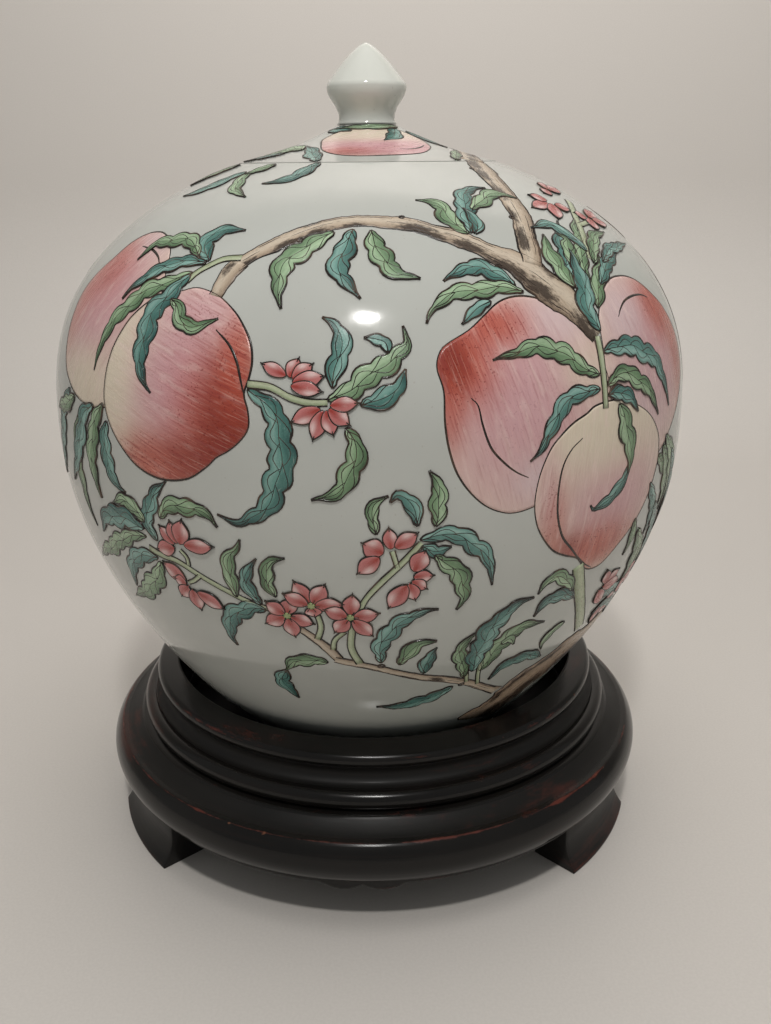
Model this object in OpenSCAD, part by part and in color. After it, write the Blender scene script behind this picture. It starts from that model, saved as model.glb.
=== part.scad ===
// Covered round jar with a bud finial, on a turned wooden stand with three feet.
// The jar's axis is Z, the table is z = 0, and the front is -Y.

/* [Jar] */
// Largest outside diameter of the jar
jar_d = 250; // [238:1:256]
// Height of the widest part above the table
jar_mid_z = 172; // [168:1:176]
// Height of the seam between the lid and the jar
seam_z = 267.2; // [264:0.2:269]
// Radius of the mouth
mouth_r = 41; // [38:0.5:43]
// Thickness of the porcelain wall
wall = 5; // [4:0.5:6]
// Outside radius of the foot ring's face
foot_ring_r = 56.5; // [54:0.5:57]

/* [Lid] */
// Height of the lid's dome from the seam to the finial
lid_rise = 13.6; // [11:0.2:15]
// Depth of the flange that drops into the mouth
flange_depth = 12; // [8:0.5:14]
// Gap between the flange and the mouth
flange_gap = 2.2; // [1:0.1:3]

/* [Finial] */
// Height of the finial above the lid
finial_h = 28.7; // [24:0.1:32]
// Radius of the finial's rim
finial_rim_r = 15.1; // [13.5:0.1:17]
// Radius of the finial's neck
finial_neck_r = 10.6; // [9:0.1:11.5]

/* [Stand] */
// Radius of the ring moulding at its nose
ring_nose_r = 116; // [114:0.5:118]
// Height of the stand at the collar's lip
stand_h = 66; // [64:0.5:67]
// Height of the panel's top, where the jar stands
seat_z = 36; // [34:0.5:37]
// Thickness of the panel
panel_t = 8; // [6:0.5:9]
// Radius of the panel
panel_r = 84; // [82:0.5:85]
// Half of the angle that one foot spans
foot_half_angle = 14; // [10:1:16]
// Turn of the feet about the jar's axis, from one foot straight behind
stand_turn = -2.7; // [-5:0.1:5]

/* [Hidden] */
$fn = 96;

porcelain = "#dde3dc";
lacquer = "#201714";
bare_wood = "#8a6a45";

// Jar: half heights and powers of the two curves that meet at the widest part
jar_r = jar_d / 2;
upper_h = 105;
upper_power = 2.644;
upper_root = 1.617;
lower_h = 181.7;
lower_power = 1.94;
lower_root = 1.016;
curve_steps = 40;
edge = 0.6;

// Jar: floor, foot ring and mouth
body_bottom_z = seat_z + 4;
base_under_z = seat_z + 5;
floor_z = seat_z + 10;
foot_ring_w = 6.5;
lip_w = 5;
lip_depth = 7.2;

// Lid
finial_base_r = 11.4;
lid_straight = 0.6;
lid_t = 5;
flange_w = 4.8;
flange_r = mouth_r - flange_gap;
lid_top_z = seam_z + lid_rise;
tenon_r = 6;
tenon_h = 2.5;
fit_gap = 0.05;

// Finial
neck_h = 2.4;
rim_z = 13;
rim_band = 1;
bud_power = 0.72;
bud_steps = 16;

// Stand: the ring moulding
ring_round = 10.5;
ring_round_z = 30.5;
ring_top_z = 43.5;
ring_bottom_z = 21.9;
ledge_r = panel_r - 6;
ring_top_r = 102;
fascia_z = 19.5;
fascia_out_r = 110.5;
fascia_in_r = 98;
cusp_w = 15;
cusp_drop = 2.2;
cusp_t = 5;
cusp_inset = 0.4;
cusp_step = 0.3;

// Stand: the collar
collar_in_r = 86;
bead_r = 3;
upper_bead = [92.5, stand_h - 5.5];
lower_bead = [97.9, 48.7];
cove = [97.2, 55];
cove_r = 4.2;

// Stand: the feet
foot_count = 3;
foot_out_r = 108.8;
foot_flare = 4.7;
foot_flare_h = 13;
foot_in_r = 98;
toe_in_r = 94;
toe_h = 4;
dowel_r = 2.5;
dowel_h = 20;
dowel_z = 10;
dowel_place_r = 103.4;
dowel_angle = 7;

function arc(c, r, a0, a1, n = 12) =
    [for (i = [0:n]) c + r * [cos(a0 + (a1 - a0) * i / n), sin(a0 + (a1 - a0) * i / n)]];

// Radius of the jar's outside at height z, drawn in by t for the inside
function jar_curve(z, t = 0) =
    z >= jar_mid_z
    ? (jar_r - t) * pow(1 - pow((z - jar_mid_z) / (upper_h - t), upper_power), 1 / upper_root)
    : (jar_r - t) * pow(1 - pow((jar_mid_z - z) / (lower_h - t), lower_power), 1 / lower_root);

// Points up the jar's side, closer together where the curve turns in at the top
function jar_side(z0, z1, t = 0) =
    [for (i = [0:2 * curve_steps])
        let (z = z0 + (z1 - z0) * sin(90 * i / (2 * curve_steps)))
        [jar_curve(z, t), z]];

// Height of the inside curve where its radius is r
function inside_z(r) =
    jar_mid_z + (upper_h - wall)
    * pow(1 - pow(r / (jar_r - wall), upper_root), 1 / upper_power);

function reversed(list) = [for (i = [len(list) - 1:-1:0]) list[i]];

// Height of the lid's outside above the seam at radius r: steeper towards the finial
function lid_curve(r, seam_r) =
    let (s = (seam_r - r) / (seam_r - finial_base_r))
    lid_rise * (lid_straight * s + (1 - lid_straight) * s * s);

module jar_body() {
    seam_r = jar_curve(seam_z);
    lip_r = mouth_r + lip_w;
    color(porcelain)
    union() {
        rotate_extrude()
        polygon(concat(
            [[0, base_under_z], [foot_ring_r - foot_ring_w, base_under_z]],
            [[foot_ring_r - foot_ring_w, seat_z], [foot_ring_r, seat_z]],
            [[foot_ring_r + edge, seat_z + edge]],
            jar_side(body_bottom_z, seam_z - edge),
            [[seam_r - edge, seam_z], [mouth_r, seam_z], [mouth_r, inside_z(mouth_r)]],
            reversed(jar_side(floor_z, inside_z(mouth_r), wall)),
            [[0, floor_z]]));
        mouth_lip(lip_r);
    }
}

module mouth_lip(lip_r) {
    translate([0, 0, seam_z - lip_depth])
    difference() {
        cylinder(r = lip_r, h = lip_depth - edge);
        translate([0, 0, -1]) cylinder(r = mouth_r, h = lip_depth + 2);
    }
}

module lid() {
    seam_r = jar_curve(seam_z);
    n = 24;
    flange_in_r = flange_r - flange_w;
    color(porcelain)
    rotate_extrude()
    polygon(concat(
        [[seam_r - edge, seam_z]],
        [for (i = [0:n])
            let (r = seam_r + (finial_base_r - seam_r) * i / n)
            [r, seam_z + max(edge, lid_curve(r, seam_r))]],
        [[tenon_r + fit_gap, lid_top_z], [tenon_r + fit_gap, lid_top_z - tenon_h],
         [0, lid_top_z - tenon_h], [0, lid_top_z - lid_t - tenon_h]],
        [for (i = [0:n])
            let (r = finial_base_r + (flange_in_r - finial_base_r) * i / n)
            [r, seam_z + lid_curve(r, seam_r) - lid_t - (1 - i / n) * tenon_h]],
        [[flange_in_r, seam_z - flange_depth + edge], [flange_in_r + edge, seam_z - flange_depth],
         [flange_r - edge, seam_z - flange_depth], [flange_r, seam_z - flange_depth + edge],
         [flange_r, seam_z]]));
}

module lid_finial() {
    n = bud_steps;
    bud_h = finial_h - rim_z - rim_band;
    color(porcelain)
    translate([0, 0, lid_top_z])
    rotate_extrude()
    polygon(concat(
        [[0, -tenon_h + fit_gap], [tenon_r, -tenon_h + fit_gap], [tenon_r, 0], [finial_base_r, 0]],
        [for (i = [0:n])
            let (s = i / n)
            [finial_neck_r + (finial_rim_r - finial_neck_r) * (1 - cos(180 * s)) / 2,
             neck_h + (rim_z - neck_h) * s]],
        [for (i = [0:n])
            let (s = i / n)
            [finial_rim_r * pow(1 - s, bud_power), rim_z + rim_band + bud_h * s]]));
}

module stand_collar() {
    color(lacquer)
    rotate_extrude()
    polygon(concat(
        [[collar_in_r, ring_top_z]],
        [[ring_top_r, ring_top_z], [ring_top_r, ring_top_z + 1.7]],
        [[lower_bead[0] + bead_r, ring_top_z + 2.6]],
        arc(lower_bead, bead_r, 0, 120),
        arc(cove, cove_r, 235, 130),
        arc(upper_bead, bead_r, -50, 80),
        arc([collar_in_r + 1, stand_h - 1], 1, 75, 180, 8)));
}

module stand_ring() {
    c = [ring_nose_r - ring_round, ring_round_z];
    top = c + ring_round * [cos(50), sin(50)];
    hollow = [ring_top_r + 0.4, ring_top_z];
    color(lacquer)
    difference() {
        union() {
            rotate_extrude()
            polygon(concat(
                [[ledge_r, ring_bottom_z], [fascia_in_r, ring_bottom_z], [fascia_in_r, fascia_z]],
                [[fascia_out_r, fascia_z], [fascia_out_r, ring_bottom_z]],
                arc(c, ring_round, -55, 50, 20),
                ring_hollow(top, hollow),
                [[panel_r, ring_top_z], [panel_r, seat_z - panel_t], [ledge_r, seat_z - panel_t]]));
            for (i = [0:foot_count - 1])
                rotate([0, 0, stand_turn - 90 + 360 * i / foot_count]) bay_cusp();
        }
        dowels(fit_gap);
    }
}

// Shallow hollow from the ring's ridge up to the collar's edge
function ring_hollow(p, q, sag = 1.2, n = 8) =
    [for (i = [0:n])
        let (s = i / n)
        p + (q - p) * s - [0, sag * sin(180 * s)]];

// Carved double lobe under the middle of a bay, drawn pointing along +X
module bay_cusp() {
    n = 24;
    lobe_r = fascia_out_r - cusp_inset;
    reach = cusp_drop + cusp_step + 1;
    intersection() {
        translate([0, 0, fascia_z - reach])
        difference() {
            cylinder(r = lobe_r, h = reach + 1);
            translate([0, 0, -1]) cylinder(r = lobe_r - cusp_t, h = reach + 3);
        }
        translate([fascia_in_r - 10, 0, fascia_z])
        rotate([90, 0, 90])
        linear_extrude(height = 30)
        polygon(concat(
            [[-cusp_w, 0.5]],
            [for (i = [0:n])
                let (x = -cusp_w + 2 * cusp_w * i / n)
                [x, -cusp_step - cusp_drop * abs(sin(180 * x / cusp_w))]],
            [[cusp_w, 0.5]]));
    }
}

module stand_panel() {
    color(lacquer)
    translate([0, 0, seat_z - panel_t])
    cylinder(r = panel_r - 2 * fit_gap, h = panel_t);
}

// One foot of the stand; turn is the angle of its middle about the jar's axis
module stand_foot(turn) {
    n = 10;
    color(lacquer)
    difference() {
        rotate([0, 0, turn - foot_half_angle])
        rotate_extrude(angle = 2 * foot_half_angle)
        polygon(concat(
            [[toe_in_r, 0], [foot_out_r + foot_flare, 0]],
            [for (i = [0:n])
                let (s = i / n)
                [foot_out_r + foot_flare * pow(1 - s, 2), 1 + (foot_flare_h - 1) * s]],
            [[foot_out_r, fascia_z], [foot_in_r, fascia_z]],
            [[foot_in_r, foot_flare_h], [toe_in_r, toe_h]]));
        dowels(fit_gap);
    }
}

function foot_turn(i) = stand_turn + 90 + 360 * i / foot_count;

module stand_foot_back() { stand_foot(foot_turn(0)); }

module stand_foot_left() { stand_foot(foot_turn(1)); }

module stand_foot_right() { stand_foot(foot_turn(2)); }

// Two dowels in every foot; gap widens and deepens them into their holes
module dowels(gap = 0) {
    for (i = [0:foot_count - 1])
        for (side = [-1, 1])
            rotate([0, 0, foot_turn(i) + side * dowel_angle])
            translate([dowel_place_r, 0, dowel_z - gap])
            cylinder(r = dowel_r + gap, h = dowel_h + 2 * gap);
}

module foot_dowels() {
    color(bare_wood) dowels();
}

jar_body();
lid();
lid_finial();
stand_collar();
stand_ring();
stand_panel();
stand_foot_left();
stand_foot_right();
stand_foot_back();
foot_dowels();
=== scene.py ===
"""Looks of a covered round jar on a turned wooden stand: glaze, enamel painting and lacquer.

Lengths are in mm until a mesh is made. A point of the painting is (degrees, mm): degrees round the
jar from the front, growing to the viewer's right, and mm along the jar's profile, up from its
widest circle. The profile runs on over the lid.
"""
import math

import bpy
import numpy as np
from mathutils import Matrix, Vector


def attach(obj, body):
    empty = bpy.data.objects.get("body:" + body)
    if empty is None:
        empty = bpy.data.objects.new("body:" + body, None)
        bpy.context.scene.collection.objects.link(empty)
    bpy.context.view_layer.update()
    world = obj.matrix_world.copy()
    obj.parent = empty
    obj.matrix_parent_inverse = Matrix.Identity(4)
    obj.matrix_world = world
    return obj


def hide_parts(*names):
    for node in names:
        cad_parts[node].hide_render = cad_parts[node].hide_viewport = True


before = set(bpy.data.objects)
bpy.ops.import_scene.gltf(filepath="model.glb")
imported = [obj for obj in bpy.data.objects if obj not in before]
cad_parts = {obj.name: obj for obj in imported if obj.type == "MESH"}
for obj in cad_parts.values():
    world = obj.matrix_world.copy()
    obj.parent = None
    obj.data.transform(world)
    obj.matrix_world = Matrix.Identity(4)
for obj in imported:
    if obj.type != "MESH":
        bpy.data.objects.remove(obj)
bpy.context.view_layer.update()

MM = 0.001
ROUND = 256  # segments round a turned piece

# ---------------------------------------------------------------- the turned form, as in the CAD

JAR_R = 125.0
MID_Z = 172.0  # height of the widest circle
UPPER_H, UPPER_POWER, UPPER_ROOT = 105.0, 2.644, 1.617  # the curve above it
LOWER_H, LOWER_POWER, LOWER_ROOT = 181.7, 1.94, 1.016  # and the curve below
SEAT_Z = 36.0  # underside of the jar's foot ring
FOOT_RING_IN_R, FOOT_RING_R = 50, 56.5
BASE_Z = 41  # underside of the base within the foot ring
SIDE_Z = 40.0  # where the jar's side starts, above the foot ring
FLOOR_Z = 46.0
WALL = 5.0
MOUTH_R = 41.0
MOUTH_END_Z = 262  # lower end of the mouth's straight bore
LIP_R = 46  # outside of the thickened lip under the mouth
SEAM_Z = 267.2
SEAM_EDGE = 0.12  # rounding of the two edges that meet at the seam
LID_RISE = 13.6
LID_STRAIGHT = 0.6  # how much of the lid's rise is a plain cone
LID_TOP_Z = SEAM_Z + LID_RISE
FLANGE_IN_R, FLANGE_R = 34, 38.8
FLANGE_Z = SEAM_Z - 12
FINIAL_BASE_R, FINIAL_NECK_R, FINIAL_RIM_R = 11.4, 10.6, 15.1
FINIAL_H = 28.7
TENON_R, TENON_H = 6.0, 2.5
COAT = 0.8  # the painting's greatest thickness, taken off the glaze so the painted jar keeps its size


def jar_radius(z, inset=0.0):
    """Outside radius of the jar at height z, drawn in by inset for the inside."""
    z = np.asarray(z, float)
    up = np.clip((z - MID_Z) / (UPPER_H - inset), 0, 1)
    down = np.clip((MID_Z - z) / (LOWER_H - inset), 0, 1)
    above = (JAR_R - inset) * (1 - up**UPPER_POWER) ** (1 / UPPER_ROOT)
    below = (JAR_R - inset) * (1 - down**LOWER_POWER) ** (1 / LOWER_ROOT)
    return np.where(z >= MID_Z, above, below)


SEAM_R = float(jar_radius(SEAM_Z))


def lid_height(r):
    """Height of the lid's outside at radius r."""
    s = (SEAM_R - np.asarray(r, float)) / (SEAM_R - FINIAL_BASE_R)
    return SEAM_Z + LID_RISE * (LID_STRAIGHT * s + (1 - LID_STRAIGHT) * s * s)


def profile_table():
    """Arc length, radius and height up the jar and over the lid; arc length is 0 at the widest."""
    z = np.linspace(SIDE_Z, SEAM_Z, 3000)
    r = jar_radius(z)
    lid_r = np.linspace(SEAM_R, FINIAL_BASE_R, 600)[1:]
    r = np.concatenate([r, lid_r])
    z = np.concatenate([z, lid_height(lid_r)])
    s = np.concatenate([[0], np.cumsum(np.hypot(np.diff(r), np.diff(z)))])
    return s - np.interp(MID_Z, z, s), r - COAT, z


ARC_S, ARC_R, ARC_Z = profile_table()


def surface(path, lift=0.0):
    """Points in metres on the glaze at (degrees, mm) places, lifted off it by lift mm."""
    path = np.asarray(path, float)
    turn = np.radians(path[..., 0])
    step = 0.4
    s = np.minimum(path[..., 1], ARC_S[-1] - 0.6)  # both neighbours stay on the profile
    r = np.interp(s, ARC_S, ARC_R)
    z = np.interp(s, ARC_S, ARC_Z)
    dr = np.interp(s + step, ARC_S, ARC_R) - np.interp(s - step, ARC_S, ARC_R)
    dz = np.interp(s + step, ARC_S, ARC_Z) - np.interp(s - step, ARC_S, ARC_Z)
    size = np.hypot(dr, dz)
    r = r + lift * dz / size
    z = z - lift * dr / size
    return np.stack([r * np.sin(turn), -r * np.cos(turn), z], -1) * MM


def degree_mm(s):
    """Length of one degree round the jar at arc length s."""
    return np.interp(s, ARC_S, ARC_R) * math.pi / 180


# ---------------------------------------------------------------- meshes


def make_object(name, verts, faces, material, body, extra=None):
    """A mesh piece that rides on a CAD body. extra holds point attributes: name, type, values."""
    mesh = bpy.data.meshes.new(name)
    mesh.from_pydata([tuple(v) for v in verts], [], faces)
    mesh.shade_smooth()
    for label, kind, values in extra or []:
        field = "color" if kind == "FLOAT_COLOR" else "vector" if kind == "FLOAT_VECTOR" else "value"
        layer = mesh.attributes.new(label, kind, "POINT")
        layer.data.foreach_set(field, np.asarray(values, np.float32).ravel())
    mesh.materials.append(material)
    mesh.validate()
    obj = bpy.data.objects.new(name, mesh)
    bpy.context.scene.collection.objects.link(obj)
    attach(obj, body)
    return obj


def fillet(points, radii, steps=5):
    """Rounds the corners of an (r, z) outline: one radius for each point, 0 for a sharp one."""
    made = []
    count = len(points)
    for i, (here, radius) in enumerate(zip(points, radii)):
        here = np.array(here, float)
        if radius == 0 or i in (0, count - 1):
            made.append(here)
            continue
        back = np.array(points[i - 1], float) - here
        ahead = np.array(points[i + 1], float) - here
        size_back, size_ahead = np.hypot(*back), np.hypot(*ahead)
        reach = min(radius, 0.45 * size_back, 0.45 * size_ahead)
        a = here + back / size_back * reach
        b = here + ahead / size_ahead * reach
        for t in np.linspace(0, 1, steps):
            made.append((1 - t) ** 2 * a + 2 * t * (1 - t) * here + t * t * b)
    return made


def lathe(name, outline, material, body, wear=None, warp=None, closed=True):
    """Turns an (r, z) outline round the axis. wear is one value for each point; warp moves points."""
    outline = np.array(outline, float)
    count = len(outline)
    turn = np.linspace(0, 2 * math.pi, ROUND, endpoint=False)
    verts, index, values = [], [], []
    for i, (r, z) in enumerate(outline):
        if r < 1e-6:
            index.append([len(verts)] * ROUND)
            verts.append((0, 0, z * MM))
            values.append(0 if wear is None else wear[i])
            continue
        index.append(list(range(len(verts), len(verts) + ROUND)))
        for a in turn:
            rr, zz = (r, z) if warp is None else warp(r, z, a)
            verts.append((rr * math.sin(a) * MM, -rr * math.cos(a) * MM, zz * MM))
            values.append(0 if wear is None else wear[i])
    faces = []
    rows = range(count if closed else count - 1)
    for i in rows:
        low, high = index[i], index[(i + 1) % count]
        for j in range(ROUND):
            k = (j + 1) % ROUND
            corner = [low[j], low[k], high[k], high[j]]
            face = [v for n, v in enumerate(corner) if v not in corner[:n]]
            if len(face) > 2:
                faces.append(face)
    return make_object(name, verts, faces, material, body, [("wear", "FLOAT", values)])


# ---------------------------------------------------------------- node helpers


def srgb(red, green, blue):
    """Linear colour from 0 to 255 screen values."""
    made = []
    for c in (red, green, blue):
        c = c / 255
        made.append(c / 12.92 if c <= 0.04045 else ((c + 0.055) / 1.055) ** 2.4)
    return tuple(made)


class Nodes:
    """Short ways to build a material's node tree."""

    def __init__(self, name, **sockets):
        self.material = bpy.data.materials.new(name)
        self.material.use_nodes = True
        self.tree = self.material.node_tree
        self.shader = self.tree.nodes["Principled BSDF"]
        for socket, value in sockets.items():
            self.shader.inputs[socket.replace("_", " ")].default_value = value

    def add(self, kind, **settings):
        node = self.tree.nodes.new(kind)
        for key, value in settings.items():
            setattr(node, key, value)
        return node

    def link(self, out, into):
        self.tree.links.new(out, into)

    def place(self):
        """The piece's own coordinates, in metres in the rest frame."""
        return self.add("ShaderNodeTexCoord").outputs["Object"]

    def attribute(self, name, output="Fac"):
        return self.add("ShaderNodeAttribute", attribute_name=name).outputs[output]

    def stretch(self, vector, scale):
        node = self.add("ShaderNodeMapping")
        self.link(vector, node.inputs["Vector"])
        node.inputs["Scale"].default_value = scale
        return node.outputs["Vector"]

    def noise(self, vector, scale, detail=4.0, roughness=0.55, distortion=0.0):
        node = self.add("ShaderNodeTexNoise")
        self.link(vector, node.inputs["Vector"])
        node.inputs["Scale"].default_value = scale
        node.inputs["Detail"].default_value = detail
        node.inputs["Roughness"].default_value = roughness
        node.inputs["Distortion"].default_value = distortion
        return node.outputs["Fac"]

    def ramp(self, value, low, high, to_low=0.0, to_high=1.0):
        """Maps low..high to to_low..to_high, held at the ends, with a smooth step."""
        node = self.add("ShaderNodeMapRange", interpolation_type="SMOOTHSTEP")
        self.link(value, node.inputs["Value"])
        node.inputs["From Min"].default_value = low
        node.inputs["From Max"].default_value = high
        node.inputs["To Min"].default_value = to_low
        node.inputs["To Max"].default_value = to_high
        return node.outputs["Result"]

    def math(self, operation, a, b):
        node = self.add("ShaderNodeMath", operation=operation)
        for socket, value in zip(node.inputs, (a, b)):
            if isinstance(value, (int, float)):
                socket.default_value = value
            else:
                self.link(value, socket)
        return node.outputs["Value"]

    def mix(self, factor, a, b, blend="MIX"):
        """Mixes two colours, each a socket or a linear colour."""
        node = self.add("ShaderNodeMix", data_type="RGBA", blend_type=blend)
        self.link(factor, node.inputs["Factor"])
        for name, value in (("A", a), ("B", b)):
            socket = [s for s in node.inputs if s.name == name and s.type == "RGBA"][0]
            if isinstance(value, tuple):
                socket.default_value = (*value, 1)
            else:
                self.link(value, socket)
        return [s for s in node.outputs if s.type == "RGBA"][0]

    def bump(self, height, strength, distance):
        node = self.add("ShaderNodeBump")
        self.link(height, node.inputs["Height"])
        node.inputs["Strength"].default_value = strength
        node.inputs["Distance"].default_value = distance
        self.link(node.outputs["Normal"], self.shader.inputs["Normal"])

    def set(self, socket, value):
        self.link(value, self.shader.inputs[socket])


# ---------------------------------------------------------------- materials


def glaze_material(name, tone):
    """Glossy pale grey-green glaze: faint clouding, fine specks and a slightly rippled skin."""
    n = Nodes(name, IOR=1.5, Coat_Weight=0.3, Coat_Roughness=0.04)
    place = n.place()
    clouds = n.ramp(n.noise(place, 14.0, 5.0), 0.35, 0.68)
    colour = n.mix(clouds, srgb(*tone), srgb(*[c - 6 for c in tone]))
    green = n.ramp(n.noise(place, 5.0, 2.0), 0.45, 0.7, 0.0, 0.35)
    colour = n.mix(green, colour, srgb(tone[0] - 14, tone[1] - 6, tone[2] - 11))
    specks = n.ramp(n.noise(place, 900.0, 1.0), 0.75, 0.79, 0.0, 0.25)
    colour = n.mix(specks, colour, srgb(150, 138, 120))
    n.set("Base Color", colour)
    n.set("Roughness", n.ramp(n.noise(place, 60.0, 3.0), 0.3, 0.7, 0.08, 0.15))
    skin = n.math("ADD", n.noise(place, 45.0, 2.0), n.math("MULTIPLY", n.noise(place, 320.0, 2.0), 0.12))
    n.bump(skin, 0.2, 0.0006)
    return n.material


def enamel_material(name, roughness, mottle, bump):
    """Overglaze enamel: the painted tint, washed unevenly along the brush, with a raised skin."""
    n = Nodes(name, IOR=1.5, Coat_Weight=0.15, Coat_Roughness=0.1)
    tint = n.attribute("tint", "Color")
    brush = n.attribute("brush", "Vector")
    wash = n.noise(n.stretch(brush, (0.3, 0.9, 1.0)), 1.0, 4.0, 0.6, 0.4)
    darker = n.mix(n.ramp(wash, 0.45, 0.75, 0.0, mottle), tint, (0.42, 0.46, 0.44), "MULTIPLY")
    paler = n.ramp(wash, 0.45, 0.25, 0.0, 0.5 * mottle)
    n.set("Base Color", n.mix(paler, darker, srgb(228, 230, 220)))
    n.set("Roughness", n.ramp(wash, 0.3, 0.7, roughness, roughness + 0.14))
    n.bump(n.noise(brush, 1.6, 3.0), bump, 0.0003)
    return n.material


def peach_material():
    """Peach enamel: fine hatched brush strokes, denser where the red is thick, and red stipple."""
    n = Nodes("peach_enamel", IOR=1.5, Coat_Weight=0.15, Coat_Roughness=0.12)
    tint = n.attribute("tint", "Color")
    red = n.attribute("mark")
    brush = n.attribute("brush", "Vector")
    strokes = n.noise(n.stretch(brush, (0.07, 1.5, 1.0)), 1.0, 4.0, 0.6, 0.2)
    broad = n.noise(n.stretch(brush, (0.08, 0.3, 1.0)), 1.0, 4.0, 0.6, 0.3)
    stroke = n.math("MULTIPLY", n.ramp(strokes, 0.48, 0.66), n.ramp(red, 0.0, 0.9, 0.1, 0.8))
    colour = n.mix(stroke, tint, srgb(150, 60, 54))
    light = n.math("MULTIPLY", n.ramp(strokes, 0.48, 0.32), n.ramp(red, 0.0, 0.8, 0.1, 0.28))
    colour = n.mix(light, colour, srgb(238, 186, 172))
    cloud = n.math("MULTIPLY", n.ramp(broad, 0.5, 0.3, 0.0, 0.4), n.ramp(red, 0.1, 0.9, 1.0, 0.3))
    colour = n.mix(cloud, colour, srgb(240, 214, 206))
    dots = n.ramp(n.noise(brush, 1.5, 0.0), 0.725, 0.75)
    dots = n.math("MULTIPLY", dots, n.ramp(red, 0.15, 0.6, 0.0, 0.6))
    colour = n.mix(dots, colour, srgb(120, 32, 26))
    n.set("Base Color", colour)
    n.set("Roughness", n.ramp(strokes, 0.35, 0.7, 0.2, 0.38))
    n.bump(strokes, 0.3, 0.0003)
    return n.material


def bark_material():
    """Branch enamel: tan, shaded and mottled with dark brown along the branch."""
    n = Nodes("branch_enamel", IOR=1.5, Coat_Weight=0.15, Coat_Roughness=0.12)
    tint = n.attribute("tint", "Color")
    stain = n.attribute("mark")
    brush = n.attribute("brush", "Vector")
    grain = n.noise(n.stretch(brush, (0.3, 1.2, 1.0)), 1.0, 6.0, 0.7, 0.6)
    patch = n.noise(n.stretch(brush, (0.35, 0.9, 1.0)), 1.0, 6.0, 0.75, 0.2)
    colour = n.mix(n.ramp(grain, 0.5, 0.75, 0.0, 0.65), tint, srgb(116, 92, 68))
    depth = n.math("ADD", n.math("MULTIPLY", stain, 0.42), patch)
    colour = n.mix(n.ramp(depth, 0.6, 0.86, 0.0, 0.9), colour, srgb(50, 38, 30))
    n.set("Base Color", colour)
    n.set("Roughness", n.ramp(grain, 0.3, 0.7, 0.22, 0.4))
    n.bump(grain, 0.4, 0.0003)
    return n.material


def ink_material():
    """Drawn outlines: thin black-brown enamel that thins to brown here and there."""
    n = Nodes("outline_enamel", IOR=1.5, Coat_Weight=0.1, Coat_Roughness=0.1)
    place = n.place()
    thin = n.ramp(n.noise(place, 160.0, 3.0), 0.45, 0.75)
    n.set("Base Color", n.mix(thin, srgb(36, 27, 22), srgb(84, 64, 50)))
    n.set("Roughness", n.ramp(thin, 0.0, 1.0, 0.25, 0.4))
    return n.material


def lacquer_material(name, shine, worn=1.0):
    """Black lacquer on turned wood: dark red where edges are rubbed, duller in hollows (wear < 0)."""
    n = Nodes(name, IOR=1.5, Specular_IOR_Level=0.29, Coat_Weight=0.04, Coat_Roughness=0.2)
    place = n.place()
    wear = n.attribute("wear")
    black = n.mix(n.ramp(n.noise(place, 18.0, 3.0), 0.3, 0.7), srgb(15, 14, 13), srgb(23, 21, 19))
    lines = n.noise(n.stretch(place, (0.15, 0.15, 12.0)), 90.0, 4.0, 0.6)
    black = n.mix(n.ramp(lines, 0.5, 0.8, 0.0, 0.4), black, srgb(36, 27, 24))
    broken = n.noise(n.stretch(place, (1.0, 1.0, 3.0)), 40.0, 6.0, 0.75)
    rubbed = n.ramp(n.math("ADD", n.math("MULTIPLY", wear, 0.55), broken), 0.92, 1.12, 0.0, worn)
    rubbed = n.math("MULTIPLY", rubbed, n.ramp(n.noise(place, 23.0, 1.0), 0.38, 0.52))
    colour = n.mix(rubbed, black, srgb(92, 42, 32))
    smear = n.ramp(n.noise(n.stretch(place, (1.0, 1.0, 6.0)), 14.0, 6.0, 0.7), 0.57, 0.68, 0.0, 0.6 * worn)
    colour = n.mix(smear, colour, srgb(76, 36, 28))
    nick = n.math("ADD", n.math("MULTIPLY", wear, 0.2), n.noise(place, 230.0, 2.0))
    nick = n.ramp(nick, 0.86, 0.92, 0.0, 0.6 * worn)
    colour = n.mix(nick, colour, srgb(128, 84, 62))
    n.set("Base Color", colour)
    rough = n.ramp(n.noise(place, 35.0, 4.0), 0.3, 0.7, shine, shine + 0.09)
    dull = n.math("ADD", n.math("MULTIPLY", rubbed, 0.2), n.ramp(wear, 0.0, -1.0, 0.0, 0.35))
    n.set("Roughness", n.math("ADD", rough, dull))
    n.bump(n.math("ADD", lines, n.math("MULTIPLY", n.noise(place, 30.0, 2.0), 0.5)), 0.12, 0.0005)
    return n.material


def bare_wood_material():
    """Plain wood of the hidden dowels, with grain along their length."""
    n = Nodes("bare_wood", IOR=1.45)
    grain = n.noise(n.stretch(n.place(), (6.0, 6.0, 0.8)), 180.0, 5.0, 0.65)
    n.set("Base Color", n.mix(n.ramp(grain, 0.35, 0.7), srgb(150, 116, 76), srgb(104, 76, 48)))
    n.set("Roughness", n.ramp(grain, 0.3, 0.7, 0.5, 0.7))
    n.bump(grain, 0.3, 0.0004)
    return n.material


PORCELAIN = (194, 196, 190)
GLAZE = glaze_material("jar_glaze", PORCELAIN)
LID_GLAZE = glaze_material("lid_glaze", PORCELAIN)
# the knob has the same porcelain glaze as the jar and lid, painted lighter: painted light for the top knob,
# where the light falls brightest
FINIAL_LIT_GLAZE = glaze_material("finial_glaze", (224, 226, 218))
LEAF = enamel_material("leaf_enamel", 0.22, 0.5, 0.35)
PETAL = enamel_material("petal_enamel", 0.22, 0.3, 0.3)
PEACH = peach_material()
BARK = bark_material()
INK = ink_material()
COLLAR_LACQUER = lacquer_material("collar_lacquer", 0.14)
RING_LACQUER = lacquer_material("ring_lacquer", 0.15)
FOOT_LACQUER = lacquer_material("foot_lacquer", 0.34, 0.6)
PANEL_LACQUER = lacquer_material("panel_lacquer", 0.5, 0.3)
DOWEL_WOOD = bare_wood_material()

# ---------------------------------------------------------------- jar, lid and finial


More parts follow.
